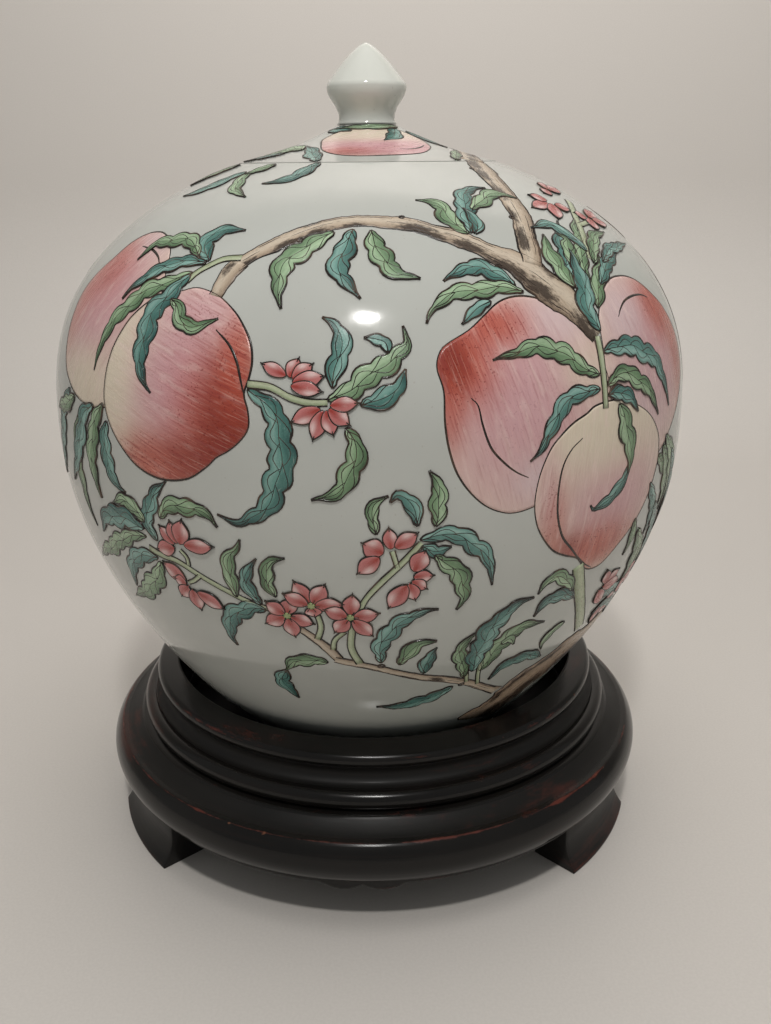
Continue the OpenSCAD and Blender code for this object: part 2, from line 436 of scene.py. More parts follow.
def jar_outline():
    """The jar's wall: foot ring, belly, seam, ledge, mouth, inside and floor."""
    rise = np.sin(np.linspace(0, math.pi / 2, 110))
    side = SIDE_Z + (SEAM_Z - SEAM_EDGE - SIDE_Z) * rise
    foot = fillet(
        [(0, BASE_Z), (FOOT_RING_IN_R, BASE_Z), (FOOT_RING_IN_R, SEAT_Z), (FOOT_RING_R, SEAT_Z)]
        + [(FOOT_RING_R + 0.6, SEAT_Z + 0.6), (FOOT_RING_R + 0.1, SIDE_Z)],
        [0, 1.5, 1.2, 1, 1, 0],
    )
    out = [(float(jar_radius(z)) - COAT, z) for z in side[1:]]
    edge_r = SEAM_R - COAT
    lip = fillet(
        [(edge_r, SEAM_Z - SEAM_EDGE), (edge_r - SEAM_EDGE, SEAM_Z), (MOUTH_R, SEAM_Z)]
        + [(MOUTH_R, MOUTH_END_Z), (LIP_R, MOUTH_END_Z - 2)],
        [0, 0.1, 1.0, 0, 0],
    )
    inner = FLOOR_Z + (MOUTH_END_Z - 2.5 - FLOOR_Z) * rise[::-2]
    inside = [(float(jar_radius(z, WALL)), z) for z in inner]
    return foot + out + lip[1:] + inside + [(0, FLOOR_Z)]


def lid_outline():
    """The lid: domed top, rim, and the flange that drops into the mouth."""
    top = [(r - COAT, float(lid_height(r))) for r in np.linspace(SEAM_R, FINIAL_BASE_R, 40)[1:]]
    edge_r = SEAM_R - COAT
    corners = [(FLANGE_R, SEAM_Z), (edge_r - SEAM_EDGE, SEAM_Z), (edge_r, SEAM_Z + SEAM_EDGE), top[0]]
    rim = fillet(corners, [0, 0.1, 0.1, 0])
    well_r, well_z = TENON_R + 0.05, LID_TOP_Z - TENON_H
    well = fillet([top[-1], (well_r, LID_TOP_Z), (well_r, well_z), (0, well_z)], [0, 0.3, 0.3, 0])
    under = [(0, well_z - WALL), (FINIAL_BASE_R, well_z - WALL)]
    for r in np.linspace(FINIAL_BASE_R, FLANGE_IN_R, 12)[1:]:
        sink = WALL + TENON_H * (FLANGE_IN_R - r) / (FLANGE_IN_R - FINIAL_BASE_R)
        under.append((r, float(lid_height(r)) - sink))
    flange = fillet(
        [under[-1], (FLANGE_IN_R, FLANGE_Z), (FLANGE_R, FLANGE_Z), (FLANGE_R, SEAM_Z)], [0, 1.2, 1.2, 0]
    )
    return rim + top[1:] + well[1:] + under + flange[1:-1]


def finial_outline():
    """The bud knob: waisted neck, rolled rim and pointed bud, with its tenon below."""
    neck_h, rim_z, bud_z = 2.4, 13.0, 14.0
    neck = [(FINIAL_BASE_R, 0.0), (10.9, 0.7), (10.65, 1.5)]
    for s in np.linspace(0, 1, 20):
        swell = (FINIAL_RIM_R - FINIAL_NECK_R) * (1 - math.cos(math.pi * s)) / 2
        neck.append((FINIAL_NECK_R + swell, neck_h + (rim_z - neck_h) * s))
    bud = []
    for s in np.linspace(0.0, 1.0, 40)[1:-1]:
        bud.append((FINIAL_RIM_R * (1 - s) ** 0.72, bud_z + (FINIAL_H - bud_z) * s))
    bud += [(0.35, FINIAL_H - 0.15), (0, FINIAL_H)]
    tenon = [(0, 0.05 - TENON_H), (TENON_R - 0.3, 0.05 - TENON_H), (TENON_R, 0.4 - TENON_H), (TENON_R, 0.0)]
    rim = fillet([neck[-1], (FINIAL_RIM_R, (rim_z + bud_z) / 2), bud[0]], [0, 0.5, 0])
    return [(r, z + LID_TOP_Z) for r, z in tenon + neck[:-1] + list(map(tuple, rim)) + bud[1:]]


def make_jar():
    jar = lathe("jar_glazed", jar_outline(), GLAZE, "jar")
    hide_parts("jar_body")
    lid = lathe("lid_glazed", lid_outline(), LID_GLAZE, "lid")
    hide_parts("lid")
    knob = lathe("finial_glazed", finial_outline(), FINIAL_LIT_GLAZE, "lid", closed=False)
    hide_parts("lid_finial")


# ---------------------------------------------------------------- stand

STAND_TURN = -2.7  # degrees that the stand is turned from the front
BAY_MIDDLES = [math.radians(STAND_TURN + 120 * i) for i in range(3)]
COLLAR_IN_R = 86
RING_TOP, RING_TOP_R = 43.5, 102.4
RING_UNDER = 21.9
NOSE, NOSE_R = (105.5, 30.5), 10.5  # centre and radius of the ring's round nose
PANEL_R, PANEL_Z = 84, 28  # the rebate that holds the panel
LEDGE_R = 78  # the ledge under the panel
FASCIA_IN_R, FASCIA_OUT_R, FASCIA_Z = 98, 110.5, 19.5
LOBE_W, LOBE_DROP = 15, 2.2  # one carved lobe in the middle of a bay
FOOT_HALF_ANGLE = 14
FOOT_OUT_R, FOOT_FLARE, FOOT_FLARE_H = 108.8, 4.7, 13
TOE_IN_R, TOE_H = 94, 4


def arc_points(centre, radius, start, end, count=14):
    turn = np.radians(np.linspace(start, end, count))
    return [(centre[0] + radius * math.cos(a), centre[1] + radius * math.sin(a)) for a in turn]


def make_collar():
    """Upper moulding: two beads with a cove between them, which is dull with dust."""
    lower, cove, upper = (98.0, 47.3), (97.2, 55), (92.5, 60.5)
    outline = [(COLLAR_IN_R, RING_TOP)] + arc_points(lower, 3.8, -88, 112, 24)
    outline += arc_points(cove, 4.2, 235, 130) + arc_points(upper, 3, -50, 80)
    outline += arc_points((COLLAR_IN_R + 1, 65), 1, 75, 180, 6)
    wear = [max(bead_wear(p, lower), bead_wear(p, upper)) for p in outline]
    wear = [-1.0 if 50 < p[1] < 58.5 and p[0] < 97 else w for w, p in zip(wear, outline)]
    collar = lathe("collar_turned", outline, COLLAR_LACQUER, "stand", wear)
    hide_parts("stand_collar")


def bead_wear(point, centre):
    """Highest on the outer crest of a bead, falling to 0 round it."""
    return max(0.0, 1 - math.hypot(point[0] - centre[0] - 2.6, point[1] - centre[1] - 1.6) / 3.0) * 0.8


def edge_wear(point, edge, reach):
    """1 on the edge, falling to 0 at reach mm from it."""
    return max(0.0, 1 - math.hypot(point[0] - edge[0], point[1] - edge[1]) / reach)


def make_ring():
    """Cushion moulding with a shallow hollow above, a fascia and carved lobes below each bay."""
    nose = arc_points(NOSE, NOSE_R, -55, 50, 34)
    ridge = np.array(nose[-1])
    hollow = []
    for s in np.linspace(0, 1, 14)[1:]:
        p = ridge + (np.array([RING_TOP_R, RING_TOP]) - ridge) * s
        hollow.append((p[0], p[1] - 0.8 * math.sin(math.pi * s)))
    under = fillet(
        [(LEDGE_R, RING_UNDER), (FASCIA_IN_R, RING_UNDER), (FASCIA_IN_R, FASCIA_Z)]
        + [(FASCIA_OUT_R, FASCIA_Z), (FASCIA_OUT_R, RING_UNDER), nose[0]],
        [0, 0.5, 0.8, 0.8, 0.4, 0],
    )
    rebate = fillet(
        [hollow[-1], (PANEL_R, RING_TOP), (PANEL_R, PANEL_Z), (LEDGE_R, PANEL_Z), (LEDGE_R, RING_UNDER)],
        [0, 0.5, 0.3, 0.5, 0],
    )
    outline = under + nose[1:] + hollow + rebate[1:-1]
    wear = []
    for p in outline:
        high = max(edge_wear(p, ridge, 2.2), 0.9 * edge_wear(p, (RING_TOP_R - 0.6, RING_TOP), 1.6))
        low = max(0.7 * edge_wear(p, (FASCIA_OUT_R, FASCIA_Z + 1), 2.0), 0.25 * edge_wear(p, (116, 31), 4))
        wear.append(max(high, low) or (-0.7 if 39 < p[1] < RING_TOP else 0.0))

    def lobes(r, z, turn):
        if z > FASCIA_Z + 1.5 or not FASCIA_IN_R - 1 <= r <= FASCIA_OUT_R + 1.5:
            return r, z
        drop = 0.0
        for middle in BAY_MIDDLES:
            across = math.remainder(turn - middle, 2 * math.pi) * FASCIA_OUT_R
            if abs(across) < LOBE_W:
                drop = 0.3 + LOBE_DROP * abs(math.sin(math.pi * across / LOBE_W))
        return r, z - drop * (1 if z < 20.4 else 0.3)

    ring = lathe("ring_turned", outline, RING_LACQUER, "stand", wear, lobes)
    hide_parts("stand_ring")


def make_foot(name, node, middle):
    """One flared foot: a turned outline swept round the stand's axis, its edges softly rounded."""
    toe_r = FOOT_OUT_R + FOOT_FLARE
    flare = np.linspace(0, 1, 9)[1:]
    outline = fillet(
        [(TOE_IN_R, 0), (toe_r, 0), (toe_r, 1)]
        + [(FOOT_OUT_R + FOOT_FLARE * (1 - s) ** 2, 1 + (FOOT_FLARE_H - 1) * s) for s in flare]
        + [(FOOT_OUT_R, FASCIA_Z), (FASCIA_IN_R, FASCIA_Z), (FASCIA_IN_R, FOOT_FLARE_H), (TOE_IN_R, TOE_H)],
        [0, 0.6, 0.4] + [0] * len(flare) + [0.4, 0.4, 1.5, 1.0],
        4,
    )
    steps = 26
    verts, faces, values = [], [], []
    count = len(outline)
    for a in np.radians(np.linspace(middle - FOOT_HALF_ANGLE, middle + FOOT_HALF_ANGLE, steps)):
        for r, z in outline:
            verts.append((r * math.cos(a) * MM, r * math.sin(a) * MM, z * MM))
            toe = edge_wear((r, z), (toe_r - 0.2, 1.2), 2.5)
            values.append(max(toe, 0.3 * edge_wear((r, z), (109, 18), 2)))
    for i in range(steps - 1):
        for j in range(count):
            k = (j + 1) % count
            faces.append((i * count + j, (i + 1) * count + j, (i + 1) * count + k, i * count + k))
    faces.append(tuple(range(count)))
    faces.append(tuple(reversed(range((steps - 1) * count, steps * count))))
    foot = make_object(name, verts, faces, FOOT_LACQUER, "stand", [("wear", "FLOAT", values)])
    soften = foot.modifiers.new("soften", "BEVEL")
    soften.width = 0.9 * MM
    soften.segments = 3
    soften.limit_method = "ANGLE"
    soften.angle_limit = math.radians(50)
    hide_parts(node)


def make_stand():
    make_collar()
    make_ring()
    for place, node in ((90, "stand_foot_back"), (210, "stand_foot_left"), (330, "stand_foot_right")):
        make_foot(node.replace("stand_", "") + "_carved", node, place + STAND_TURN)
    for node, material in (("stand_panel", PANEL_LACQUER), ("foot_dowels", DOWEL_WOOD)):
        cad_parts[node].data.materials.clear()
        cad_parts[node].data.materials.append(material)


# ---------------------------------------------------------------- painting: tools

SINK = 0.12  # how far enamel reaches into the glaze, so that each coat is a closed solid
CREST = 0.05  # how far the middle of a drawn line stands above its edges
SPAN_STEPS = 12  # steps of a smooth curve from one of its points to the next
COLUMNS = 9  # points across a leaf, a petal or a branch


def smooth(points, count, loop=False):
    """A smooth curve through the points, evenly spaced along its length on the jar."""
    p = np.array(points, float)
    if loop:
        ring = np.concatenate([p[-2:], p, p[:1]])
        spans = range(1, len(p) + 1)
    else:
        ring = np.concatenate([[2 * p[0] - p[1]], p, [2 * p[-1] - p[-2]]])
        spans = range(1, len(p))
    made = []
    for i in spans:
        a, b, c, d = ring[i - 1 : i + 3]
        square = 2 * a - 5 * b + 4 * c - d
        cube = 3 * b - a - 3 * c + d
        for t in np.linspace(0, 1, SPAN_STEPS, endpoint=False):
            made.append(0.5 * (2 * b + (c - a) * t + square * t**2 + cube * t**3))
    made = np.array(made if loop else made + [p[-1]])
    closed = np.concatenate([made, made[:1]]) if loop else made
    step = np.diff(closed, axis=0)
    length = np.hypot(step[:, 0] * degree_mm(closed[:-1, 1]), step[:, 1])
    run = np.concatenate([[0], np.cumsum(length)])
    want = np.linspace(0, run[-1], count, endpoint=not loop)
    return np.stack([np.interp(want, run, closed[:, 0]), np.interp(want, run, closed[:, 1])], -1)


def path_length(path):
    step = np.diff(path, axis=0)
    return float(np.hypot(step[:, 0] * degree_mm(path[:-1, 1]), step[:, 1]).sum())


def beside(path, distance):
    """The path moved distance mm to its left."""
    scale = degree_mm(path[:, 1])
    step = np.gradient(path, axis=0)
    x, y = step[:, 0] * scale, step[:, 1]
    size = np.maximum(np.hypot(x, y), 1e-9)
    distance = np.broadcast_to(distance, x.shape)
    return path + np.stack([-y / size * distance / scale, x / size * distance], -1)


class Coat:
    """Closed thin shells of enamel, gathered into one piece."""

    def __init__(self):
        self.verts = []
        self.faces = []
        self.tint = []
        self.brush = []
        self.mark = []
        self.count = 0

    def extend(self, points, tint, brush, mark=None):
        start = self.count
        points = points.reshape(-1, 3)
        self.verts.append(points)
        self.tint.append(np.broadcast_to(tint, points.shape).reshape(-1, 3))
        self.brush.append(brush.reshape(-1, 3))
        self.mark.append(np.zeros(len(points)) if mark is None else mark.reshape(-1))
        self.count += len(points)
        return start

    def sheet(self, grid, lift, tint, brush, mark=None):
        """Rows along the stroke, columns from its right to its left."""
        rows, cols = grid.shape[:2]
        top = self.extend(surface(grid, lift), tint.reshape(-1, 3), brush, mark)
        low = self.extend(surface(grid, -SINK), tint.reshape(-1, 3), brush, mark) - top
        index = top + np.arange(rows * cols).reshape(rows, cols)
        a, b, c, d = index[:-1, :-1], index[1:, :-1], index[1:, 1:], index[:-1, 1:]
        quads = np.stack([a, b, c, d], -1).reshape(-1, 4)
        self.faces += quads.tolist()
        self.faces += (quads[:, ::-1] + low).tolist()
        edge = np.concatenate([index[:, 0], index[-1, 1:], index[-2::-1, -1], index[0, -2:0:-1]])
        self.wall(edge, low)

    def wall(self, edge, low):
        ahead = np.roll(edge, -1)
        self.faces += np.stack([edge, edge + low, ahead + low, ahead], -1).tolist()

    def disc(self, rings, lift, tint, brush, mark):
        """Rings from the middle outwards, anticlockwise; the first ring is a single point."""
        count, cols = rings.shape[:2]
        keep = [0] + list(range(cols, count * cols))
        flat = rings.reshape(-1, 2)[keep]
        lift = np.broadcast_to(lift, (count, cols)).reshape(-1)[keep]
        tint, brush, mark = tint.reshape(-1, 3)[keep], brush.reshape(-1, 3)[keep], mark.reshape(-1)[keep]
        top = self.extend(surface(flat, lift), tint, brush, mark)
        low = self.extend(surface(flat, -SINK), tint, brush, mark) - top
        index = top + 1 + np.arange((count - 1) * cols).reshape(count - 1, cols)
        ahead = np.roll(index, -1, axis=1)
        quads = np.stack([index[:-1], index[1:], ahead[1:], ahead[:-1]], -1).reshape(-1, 4)
        fan = np.stack([np.full(cols, top), index[0], ahead[0]], -1)
        self.faces += quads.tolist() + fan.tolist()
        self.faces += (quads[:, ::-1] + low).tolist() + (fan[:, ::-1] + low).tolist()
        self.wall(index[-1], low)

    def line(self, path, width, lift):
        """A drawn line with a low crest; width is one number or one for each point."""
        width = np.broadcast_to(width, len(path)) / 2
        right, left = beside(path, -width), beside(path, width)
        rails = [surface(right, lift), surface(path, lift + CREST), surface(left, lift)]
        points = np.stack(rails + [surface(right, -SINK), surface(left, -SINK)], 1)
        start = self.extend(points, (0.0, 0.0, 0.0), np.zeros(points.shape))
        i = start + 5 * np.arange(len(path) - 1)
        for a, b in ((0, 1), (1, 2), (2, 4), (4, 3), (3, 0)):
            self.faces += np.stack([i + a, i + 5 + a, i + 5 + b, i + b], -1).tolist()
        end = start + 5 * (len(path) - 1)
        self.faces.append([start, start + 1, start + 2, start + 4, start + 3])
        self.faces.append([end + 3, end + 4, end + 2, end + 1, end])

    def make(self, name, material, body, slot):
        tint = np.concatenate(self.tint)
        tint = np.concatenate([tint, np.ones((len(tint), 1))], 1)
        extra = [("tint", "FLOAT_COLOR", tint), ("brush", "FLOAT_VECTOR", np.concatenate(self.brush))]
        extra.append(("mark", "FLOAT", np.concatenate(self.mark)))
        return make_object(name, np.concatenate(self.verts), self.faces, material, body, extra)


def mixed(a, b, amount):
    amount = np.asarray(amount)[..., None]
    return np.asarray(a) * (1 - amount) + np.asarray(b) * amount


class Spray:
    """One body's share of the painting on one side: its coats of leaf, petal, bark and outline."""

    def __init__(self, name, body, slot, turn=0.0):
        self.name, self.body, self.slot = name, body, slot
        self.turn = turn
        self.leaves, self.petals, self.bark, self.veins, self.ink = Coat(), Coat(), Coat(), Coat(), Coat()
        self.drawn = 0
        self.random = np.random.default_rng(len(name) * 7 + int(turn))

    def at(self, points):
        """Places on this side of the jar."""
        p = np.array(points, float)
        p[..., 0] += self.turn
        return p

    def lift(self, base, step=0.006, levels=12):
        """A new coat lies a little above the last, so that it hides the lines under it."""
        self.drawn += 1
        return base + step * (self.drawn % levels)

    def finish(self):
        for coat, label, material in (
            (self.leaves, "leaves", LEAF),
            (self.petals, "petals", PETAL),
            (self.bark, "branches", BARK),
            (self.veins, "leaf_lines", INK),
            (self.ink, "outlines", INK),
        ):
            if coat.count:
                coat.make(f"{self.name}_{label}", material, self.body, self.slot)


LOW_COAT, LEAF_COAT, PETAL_COAT = 0.1, 0.2, 0.45  # lifts of branches, leaves and petals, mm
TEAL = (srgb(98, 148, 138), srgb(36, 76, 74), srgb(168, 204, 194))
GREEN = (srgb(138, 170, 130), srgb(62, 92, 62), srgb(194, 216, 182))
TWIG = (srgb(170, 184, 150), srgb(106, 108, 76), srgb(204, 208, 180))
WOOD = (srgb(196, 178, 156), srgb(122, 100, 82), srgb(214, 202, 184))
TRUNK = (srgb(170, 146, 124), srgb(92, 76, 64), srgb(192, 172, 150))


def leaf(spray, kind, width, points):
    """A long leaf with scalloped margins: one half darker, a dark fine tip, and drawn veins."""
    random = spray.random
    body, dark, pale = TEAL if kind == "T" else GREEN
    length = path_length(smooth(spray.at(points), 40))
    rows = int(np.clip(length / 1.1, 16, 46))
    spine = smooth(spray.at(points), rows)
    t = np.linspace(0, 1, rows)
    lobes = max(2, round(length / 7.5))
    form = np.clip(np.sin(math.pi * t**0.82), 0, 1) ** (0.75 + 0.5 * t) * width * 0.43 + 0.12
    shift = random.uniform(0.1, 0.9, 2)
    left = form * (0.68 + 0.42 * np.abs(np.sin(math.pi * (lobes * t - shift[0]))) ** 0.8)
    right = form * (0.68 + 0.42 * np.abs(np.sin(math.pi * (lobes * t - shift[1]))) ** 0.8)
    sway = 0.06 * width * np.sin(math.pi * lobes * t + 6 * shift[0]) * np.sin(math.pi * t)
    spine = beside(spine, sway)
    across = np.linspace(-1, 1, COLUMNS)
    grid = np.stack([beside(spine, np.where(v < 0, v * right, v * left)) for v in across], 1)
    lift = spray.lift(LEAF_COAT, 0.06, 6)
    dome = lift + 0.03 * (1 - across[None, :] ** 2) * np.minimum(form / 2, 1)[:, None]
    shade = random.uniform(-0.1, 0.12)
    half = random.choice([-1, 1])
    side = 0.32 * (half * across[None, :] > 0) + 0.35 * np.abs(across[None, :]) ** 3
    tip = 0.95 * np.clip((t - 0.66) / 0.34, 0, 1)[:, None] ** 1.3
    fold = 0.35 * np.clip(np.sin(2 * math.pi * (lobes * t / 2 + shift[1])), 0, 1)[:, None]
    tint = mixed(body, dark, np.clip(side + tip + fold * np.abs(across[None, :]) + shade, 0, 0.9))
    bright = 0.7 * np.exp(-(((across[None, :] * half + 0.5) / 0.35) ** 2)) * (1 - t[:, None]) ** 0.5
    tint = mixed(tint, pale, np.clip(bright - shade, 0, 1))
    brush = np.stack(
        np.broadcast_arrays((t * length)[:, None], across[None, :] * width / 2, 11.0 * spray.drawn), -1
    )
    spray.leaves.sheet(grid, dome, tint, brush)
    draw_margins(spray, spine, left, right, t, lift, length)
    if width > 4:
        draw_veins(spray, spine, (left, right), shift, t, lift + 0.01, lobes)


def draw_margins(spray, spine, left, right, t, lift, length):
    """Both margins, in a line that swells and thins, and the midrib."""
    random = spray.random
    beat = np.sin(t * length * 0.4 + random.uniform(0, 6))
    pen = 0.52 * (1 + 0.3 * beat)
    spray.veins.line(beside(spine, left), pen, lift)
    spray.veins.line(beside(spine, -right), pen[::-1], lift)
    stop = int(len(t) * 0.95)
    spray.veins.line(spine[:stop], 0.42 * (1.1 - 0.5 * t[:stop]), lift + 0.01)


def draw_veins(spray, spine, margins, shift, t, lift, lobes):
    """Side veins: from the midrib to each notch of the margin, and loops that fall back to it."""
    for side, margin, phase in ((1, margins[0], shift[0]), (-1, margins[1], shift[1])):
        for i in range(lobes + 1):
            end = (i + phase) / lobes
            begin = max(end - 1.2 / lobes, 0.03)
            if end < 0.12 or end > 0.97:
                continue
            u = np.linspace(0, 1, 8)
            place = begin + (end - begin) * u
            root = np.stack([np.interp(place, t, spine[:, 0]), np.interp(place, t, spine[:, 1])], -1)
            looped = side * (1 if i % 2 else -1) * math.cos(9 * phase) > -0.3
            reach = 0.62 * np.sin(u * math.pi) ** 0.8 if looped else np.sin(u * math.pi / 2) ** 1.25
            out = side * np.interp(place, t, margin) * reach
            spray.veins.line(beside_at(root, spine, place, t, out), 0.38 * (1.05 - 0.3 * u), lift)


def beside_at(root, spine, place, t, out):
    """Points out mm beside the spine at the given places along it."""
    full = beside(spine, 1.0) - spine
    shift = np.stack([np.interp(place, t, full[:, 0]), np.interp(place, t, full[:, 1])], -1)
    return root + shift * out[:, None]


def branch(spray, widths, points, stains=(), tones=WOOD, coarse=1.0, lift=LOW_COAT):
    """A branch or twig between uneven outlines. stains are its dark places: degrees, mm and reach."""
    random = spray.random
    body, dark, pale = tones
    length = path_length(smooth(spray.at(points), 60))
    rows = int(np.clip(length / 1.5, 8, 160))
    spine = smooth(spray.at(points), rows)
    t = np.linspace(0, 1, rows)
    half = np.interp(t, np.linspace(0, 1, len(widths)), widths) / 2
    left = half * ripple(random, rows, coarse)
    right = half * ripple(random, rows, coarse)
    across = np.linspace(-1, 1, COLUMNS)
    grid = np.stack([beside(spine, np.where(v < 0, v * right, v * left)) for v in across], 1)
    lift = spray.lift(lift)
    shade = 0.8 * np.clip(-across, 0, 1) ** 1.6 + 0.3 * np.clip(across, 0, 1) ** 4
    tint = mixed(body, dark, np.broadcast_to(shade, (rows, COLUMNS)))
    tint = mixed(tint, pale, 0.6 * np.exp(-(((across - 0.3) / 0.4) ** 2)))
    brush = np.stack(
        np.broadcast_arrays((t * length)[:, None], across[None, :] * half[:, None], 13.0 * spray.drawn), -1
    )
    even = np.full((rows, COLUMNS), 0.1 * coarse - 0.35 * (coarse < 0.6))
    mark = even + 0.25 * coarse * np.clip(-across, 0, 1) ** 2
    for degrees, s, reach in stains:
        centre = spray.at((degrees, s))
        near = np.hypot((grid[..., 0] - centre[0]) * degree_mm(s), grid[..., 1] - s).argmin()
        along = (brush[..., 0] - brush[..., 0].flat[near]) / 1.7
        over = (brush[..., 1] - brush[..., 1].flat[near]) / 0.6
        mark = np.maximum(mark, 1.1 * np.exp(-((np.hypot(along, over) / reach) ** 2)))
    spray.bark.sheet(grid, lift + 0.03 * (1 - across[None, :] ** 2) + np.zeros((rows, 1)), tint, brush, mark)
    pen = 0.42 + 0.4 * coarse * np.clip(np.sin(t * length * 0.15 + random.uniform(0, 6)), 0, 1) ** 2
    spray.ink.line(beside(spine, left), pen, lift)
    spray.ink.line(beside(spine, -right), pen[::-1], lift)
    if coarse > 0.6:
        draw_bark(spray, spine, left, right, lift + 0.01)


def ripple(random, rows, coarse):
    """Uneven factors near 1 that vary gently from row to row."""
    return 1 + 0.1 * coarse * np.convolve(random.normal(0, 1, rows + 8), np.ones(5) / 2.2, "same")[4:-4]


def draw_bark(spray, spine, left, right, lift):
    """Short dark strokes along the bark, and knots that stand out from its edges."""
    random = spray.random
    rows = len(spine)
    if rows < 16:
        return
    for _ in range(rows // 2):
        i = random.integers(1, rows - 9)
        n = random.integers(4, 8)
        v = random.choice([-0.85, -0.7, -0.5, 0.7, 0.1])
        piece = beside(spine[i : i + n], v * np.where(v < 0, right[i : i + n], left[i : i + n]))
        spray.ink.line(piece, 0.4 * np.sin(np.linspace(0.5, math.pi - 0.3, n)), lift)
    for i in range(14, rows - 6, 22):
        side = random.choice([-1, 1])
        edge = beside(spine, side * (left if side > 0 else right))[i]
        knot(spray, edge, random.uniform(0.8, 1.3), lift)


def knot(spray, centre, radius, lift):
    turn = np.linspace(0, 1.8 * math.pi, 12)
    ring = np.stack([radius * np.cos(turn) / degree_mm(centre[1]), 0.8 * radius * np.sin(turn)], -1)
    spray.ink.line(centre + ring, 0.6, lift + 0.03)


RED, PINK, BLUSH = srgb(162, 56, 46), srgb(200, 126, 124), srgb(238, 214, 210)


def petal(spray, width, base, tip, level=0):
    """One petal: a red heart that fades to pink and near white, and a small dark point."""
    base, tip = spray.at(base), spray.at(tip)
    rows = 16
    t = np.linspace(0, 1, rows)
    spine = base + (tip - base) * t[:, None]
    length = path_length(spine)
    form = np.clip(np.sin(math.pi * t**1.05), 0, 1) ** (0.55 + 0.45 * t) * width * 0.48 + 0.1
    across = np.linspace(-1, 1, COLUMNS)
    grid = np.stack([beside(spine, v * form) for v in across], 1)
    spray.drawn += 1
    lift = PETAL_COAT + 0.055 * level
    heart = np.exp(-((across[None, :] / 0.55) ** 2)) * np.clip(1.15 - t[:, None] / 0.8, 0, 1)
    tint = mixed(PINK, RED, np.clip(1.1 * heart, 0, 0.95))
    side = spray.random.choice([-0.55, 0.55])
    light = 0.85 * np.exp(-(((t[:, None] - 0.66) / 0.22) ** 2) - ((across[None, :] - side) / 0.4) ** 2)
    tint = mixed(tint, BLUSH, light)
    tint = mixed(tint, RED, 0.6 * np.clip((t[:, None] - 0.85) / 0.15, 0, 1))
    brush = np.stack(
        np.broadcast_arrays((t * length)[:, None], across[None, :] * width / 2, 7.0 * spray.drawn), -1
    )
    spray.petals.sheet(grid, lift + 0.02 * (1 - across[None, :] ** 2) + np.zeros((rows, 1)), tint, brush)
    for way in (-1, 1):
        spray.ink.line(beside(spine, way * form), 0.36 + 0.16 * t, lift - 0.005)
    point = tip + (tip - base) / length * np.array([[-1.0], [0.0], [0.9]])
    spray.ink.line(point, np.array([0.7, 0.6, 0.16]), lift)


def blossom(spray, hub, tips, width=5.8):
    """An open flower seen from the front: petals round a green eye with fine stamens."""
    hub = np.array(hub, float)
    for level, tip in enumerate(tips):
        tip = np.array(tip, float)
        petal(spray, width, hub + (tip - hub) * 0.12, tip, level)
    eye(spray, hub)


def eye(spray, hub):
    centre = spray.at(hub)
    turn = np.linspace(0, 2 * math.pi, 12, endpoint=False)
    lift = spray.lift(PETAL_COAT + 0.24, 0.0)
    ring = np.stack([1.3 * np.cos(turn) / degree_mm(centre[1]), 1.3 * np.sin(turn)], -1)
    rings = np.stack([np.tile(centre, (12, 1)), centre + ring * 0.6, centre + ring])
    brush = np.zeros((3, 12, 3)) + spray.drawn
    tint = np.broadcast_to(srgb(160, 172, 120), (3, 12, 3))
    spray.petals.disc(rings, lift, tint, brush, np.zeros((3, 12)))
    for a in turn[::2]:
        out = np.array([math.cos(a) / degree_mm(centre[1]), math.sin(a)])
        spray.ink.line(np.array([centre + out * k for k in (0.9, 1.6, 2.3, 2.8)]), 0.28, lift)


def peach(name, body, slot, spray, outline, cleft, washes, slant, lift=0.12, hub=None):
    """A peach: cream enamel with washes of pink and red laid over it, an outline and its cleft."""
    cols, rings = 132, 30
    edge = smooth(spray.at(outline), cols, loop=True)
    middle = spray.at(hub) if hub else edge.mean(0)
    step = np.roll(edge, -1, axis=0) - edge
    turning = (edge[:, 0] - middle[0]) * step[:, 1] - (edge[:, 1] - middle[1]) * step[:, 0]
    if turning.sum() < 0:
        edge = edge[::-1]
    grow = np.linspace(0, 1, rings)[:, None, None]
    grid = middle + (edge - middle)[None] * grow
    scale = degree_mm(middle[1])
    x = (grid[..., 0] - middle[0]) * scale
    y = grid[..., 1] - middle[1]
    tint = np.broadcast_to(WASH["C"], (*grid.shape[:2], 3))
    red = np.zeros(grid.shape[:2])
    centre = middle - (spray.turn, 0)
    for colour, place, wide, high, strength in washes:
        dx = (x - (place[0] - centre[0]) * scale) / wide
        dy = (y - (place[1] - centre[1])) / high
        amount = strength * np.exp(-((dx**2 + dy**2) ** 1.3))
        tint = mixed(tint, WASH[colour], amount)
        red = np.where(colour in "RD", np.maximum(red, amount), red + 0.35 * amount * (colour == "P"))
    a = math.radians(slant)
    brush = np.stack([x * math.cos(a) + y * math.sin(a), y * math.cos(a) - x * math.sin(a), x * 0 + 5.0], -1)
    coat = Coat()
    dome = lift + 0.03 * (1 - grow[..., 0] ** 6) + np.zeros(red.shape)
    coat.disc(grid, dome, tint, brush, np.clip(red, 0, 1))
    coat.make(name, PEACH, body, slot)
    loop = np.concatenate([edge, edge[:2]])
    pen = 0.6 + 0.2 * np.sin(np.linspace(0, 19, len(loop)))
    spray.ink.line(loop, pen, lift - 0.01)
    if cleft:
        line = smooth(spray.at(cleft), 40)
        spray.ink.line(line, 0.95 * np.sin(np.linspace(0.25, math.pi - 0.25, 40)) ** 0.7, lift + 0.02)


WASH = {  # pink, red, dark red, whitish pink and cream enamel
    "P": srgb(211, 162, 169),
    "R": srgb(188, 82, 60),
    "D": srgb(126, 34, 18),
    "W": srgb(217, 195, 197),
    "C": srgb(228, 216, 194),
}

# ---------------------------------------------------------------- painting: motifs of the jar

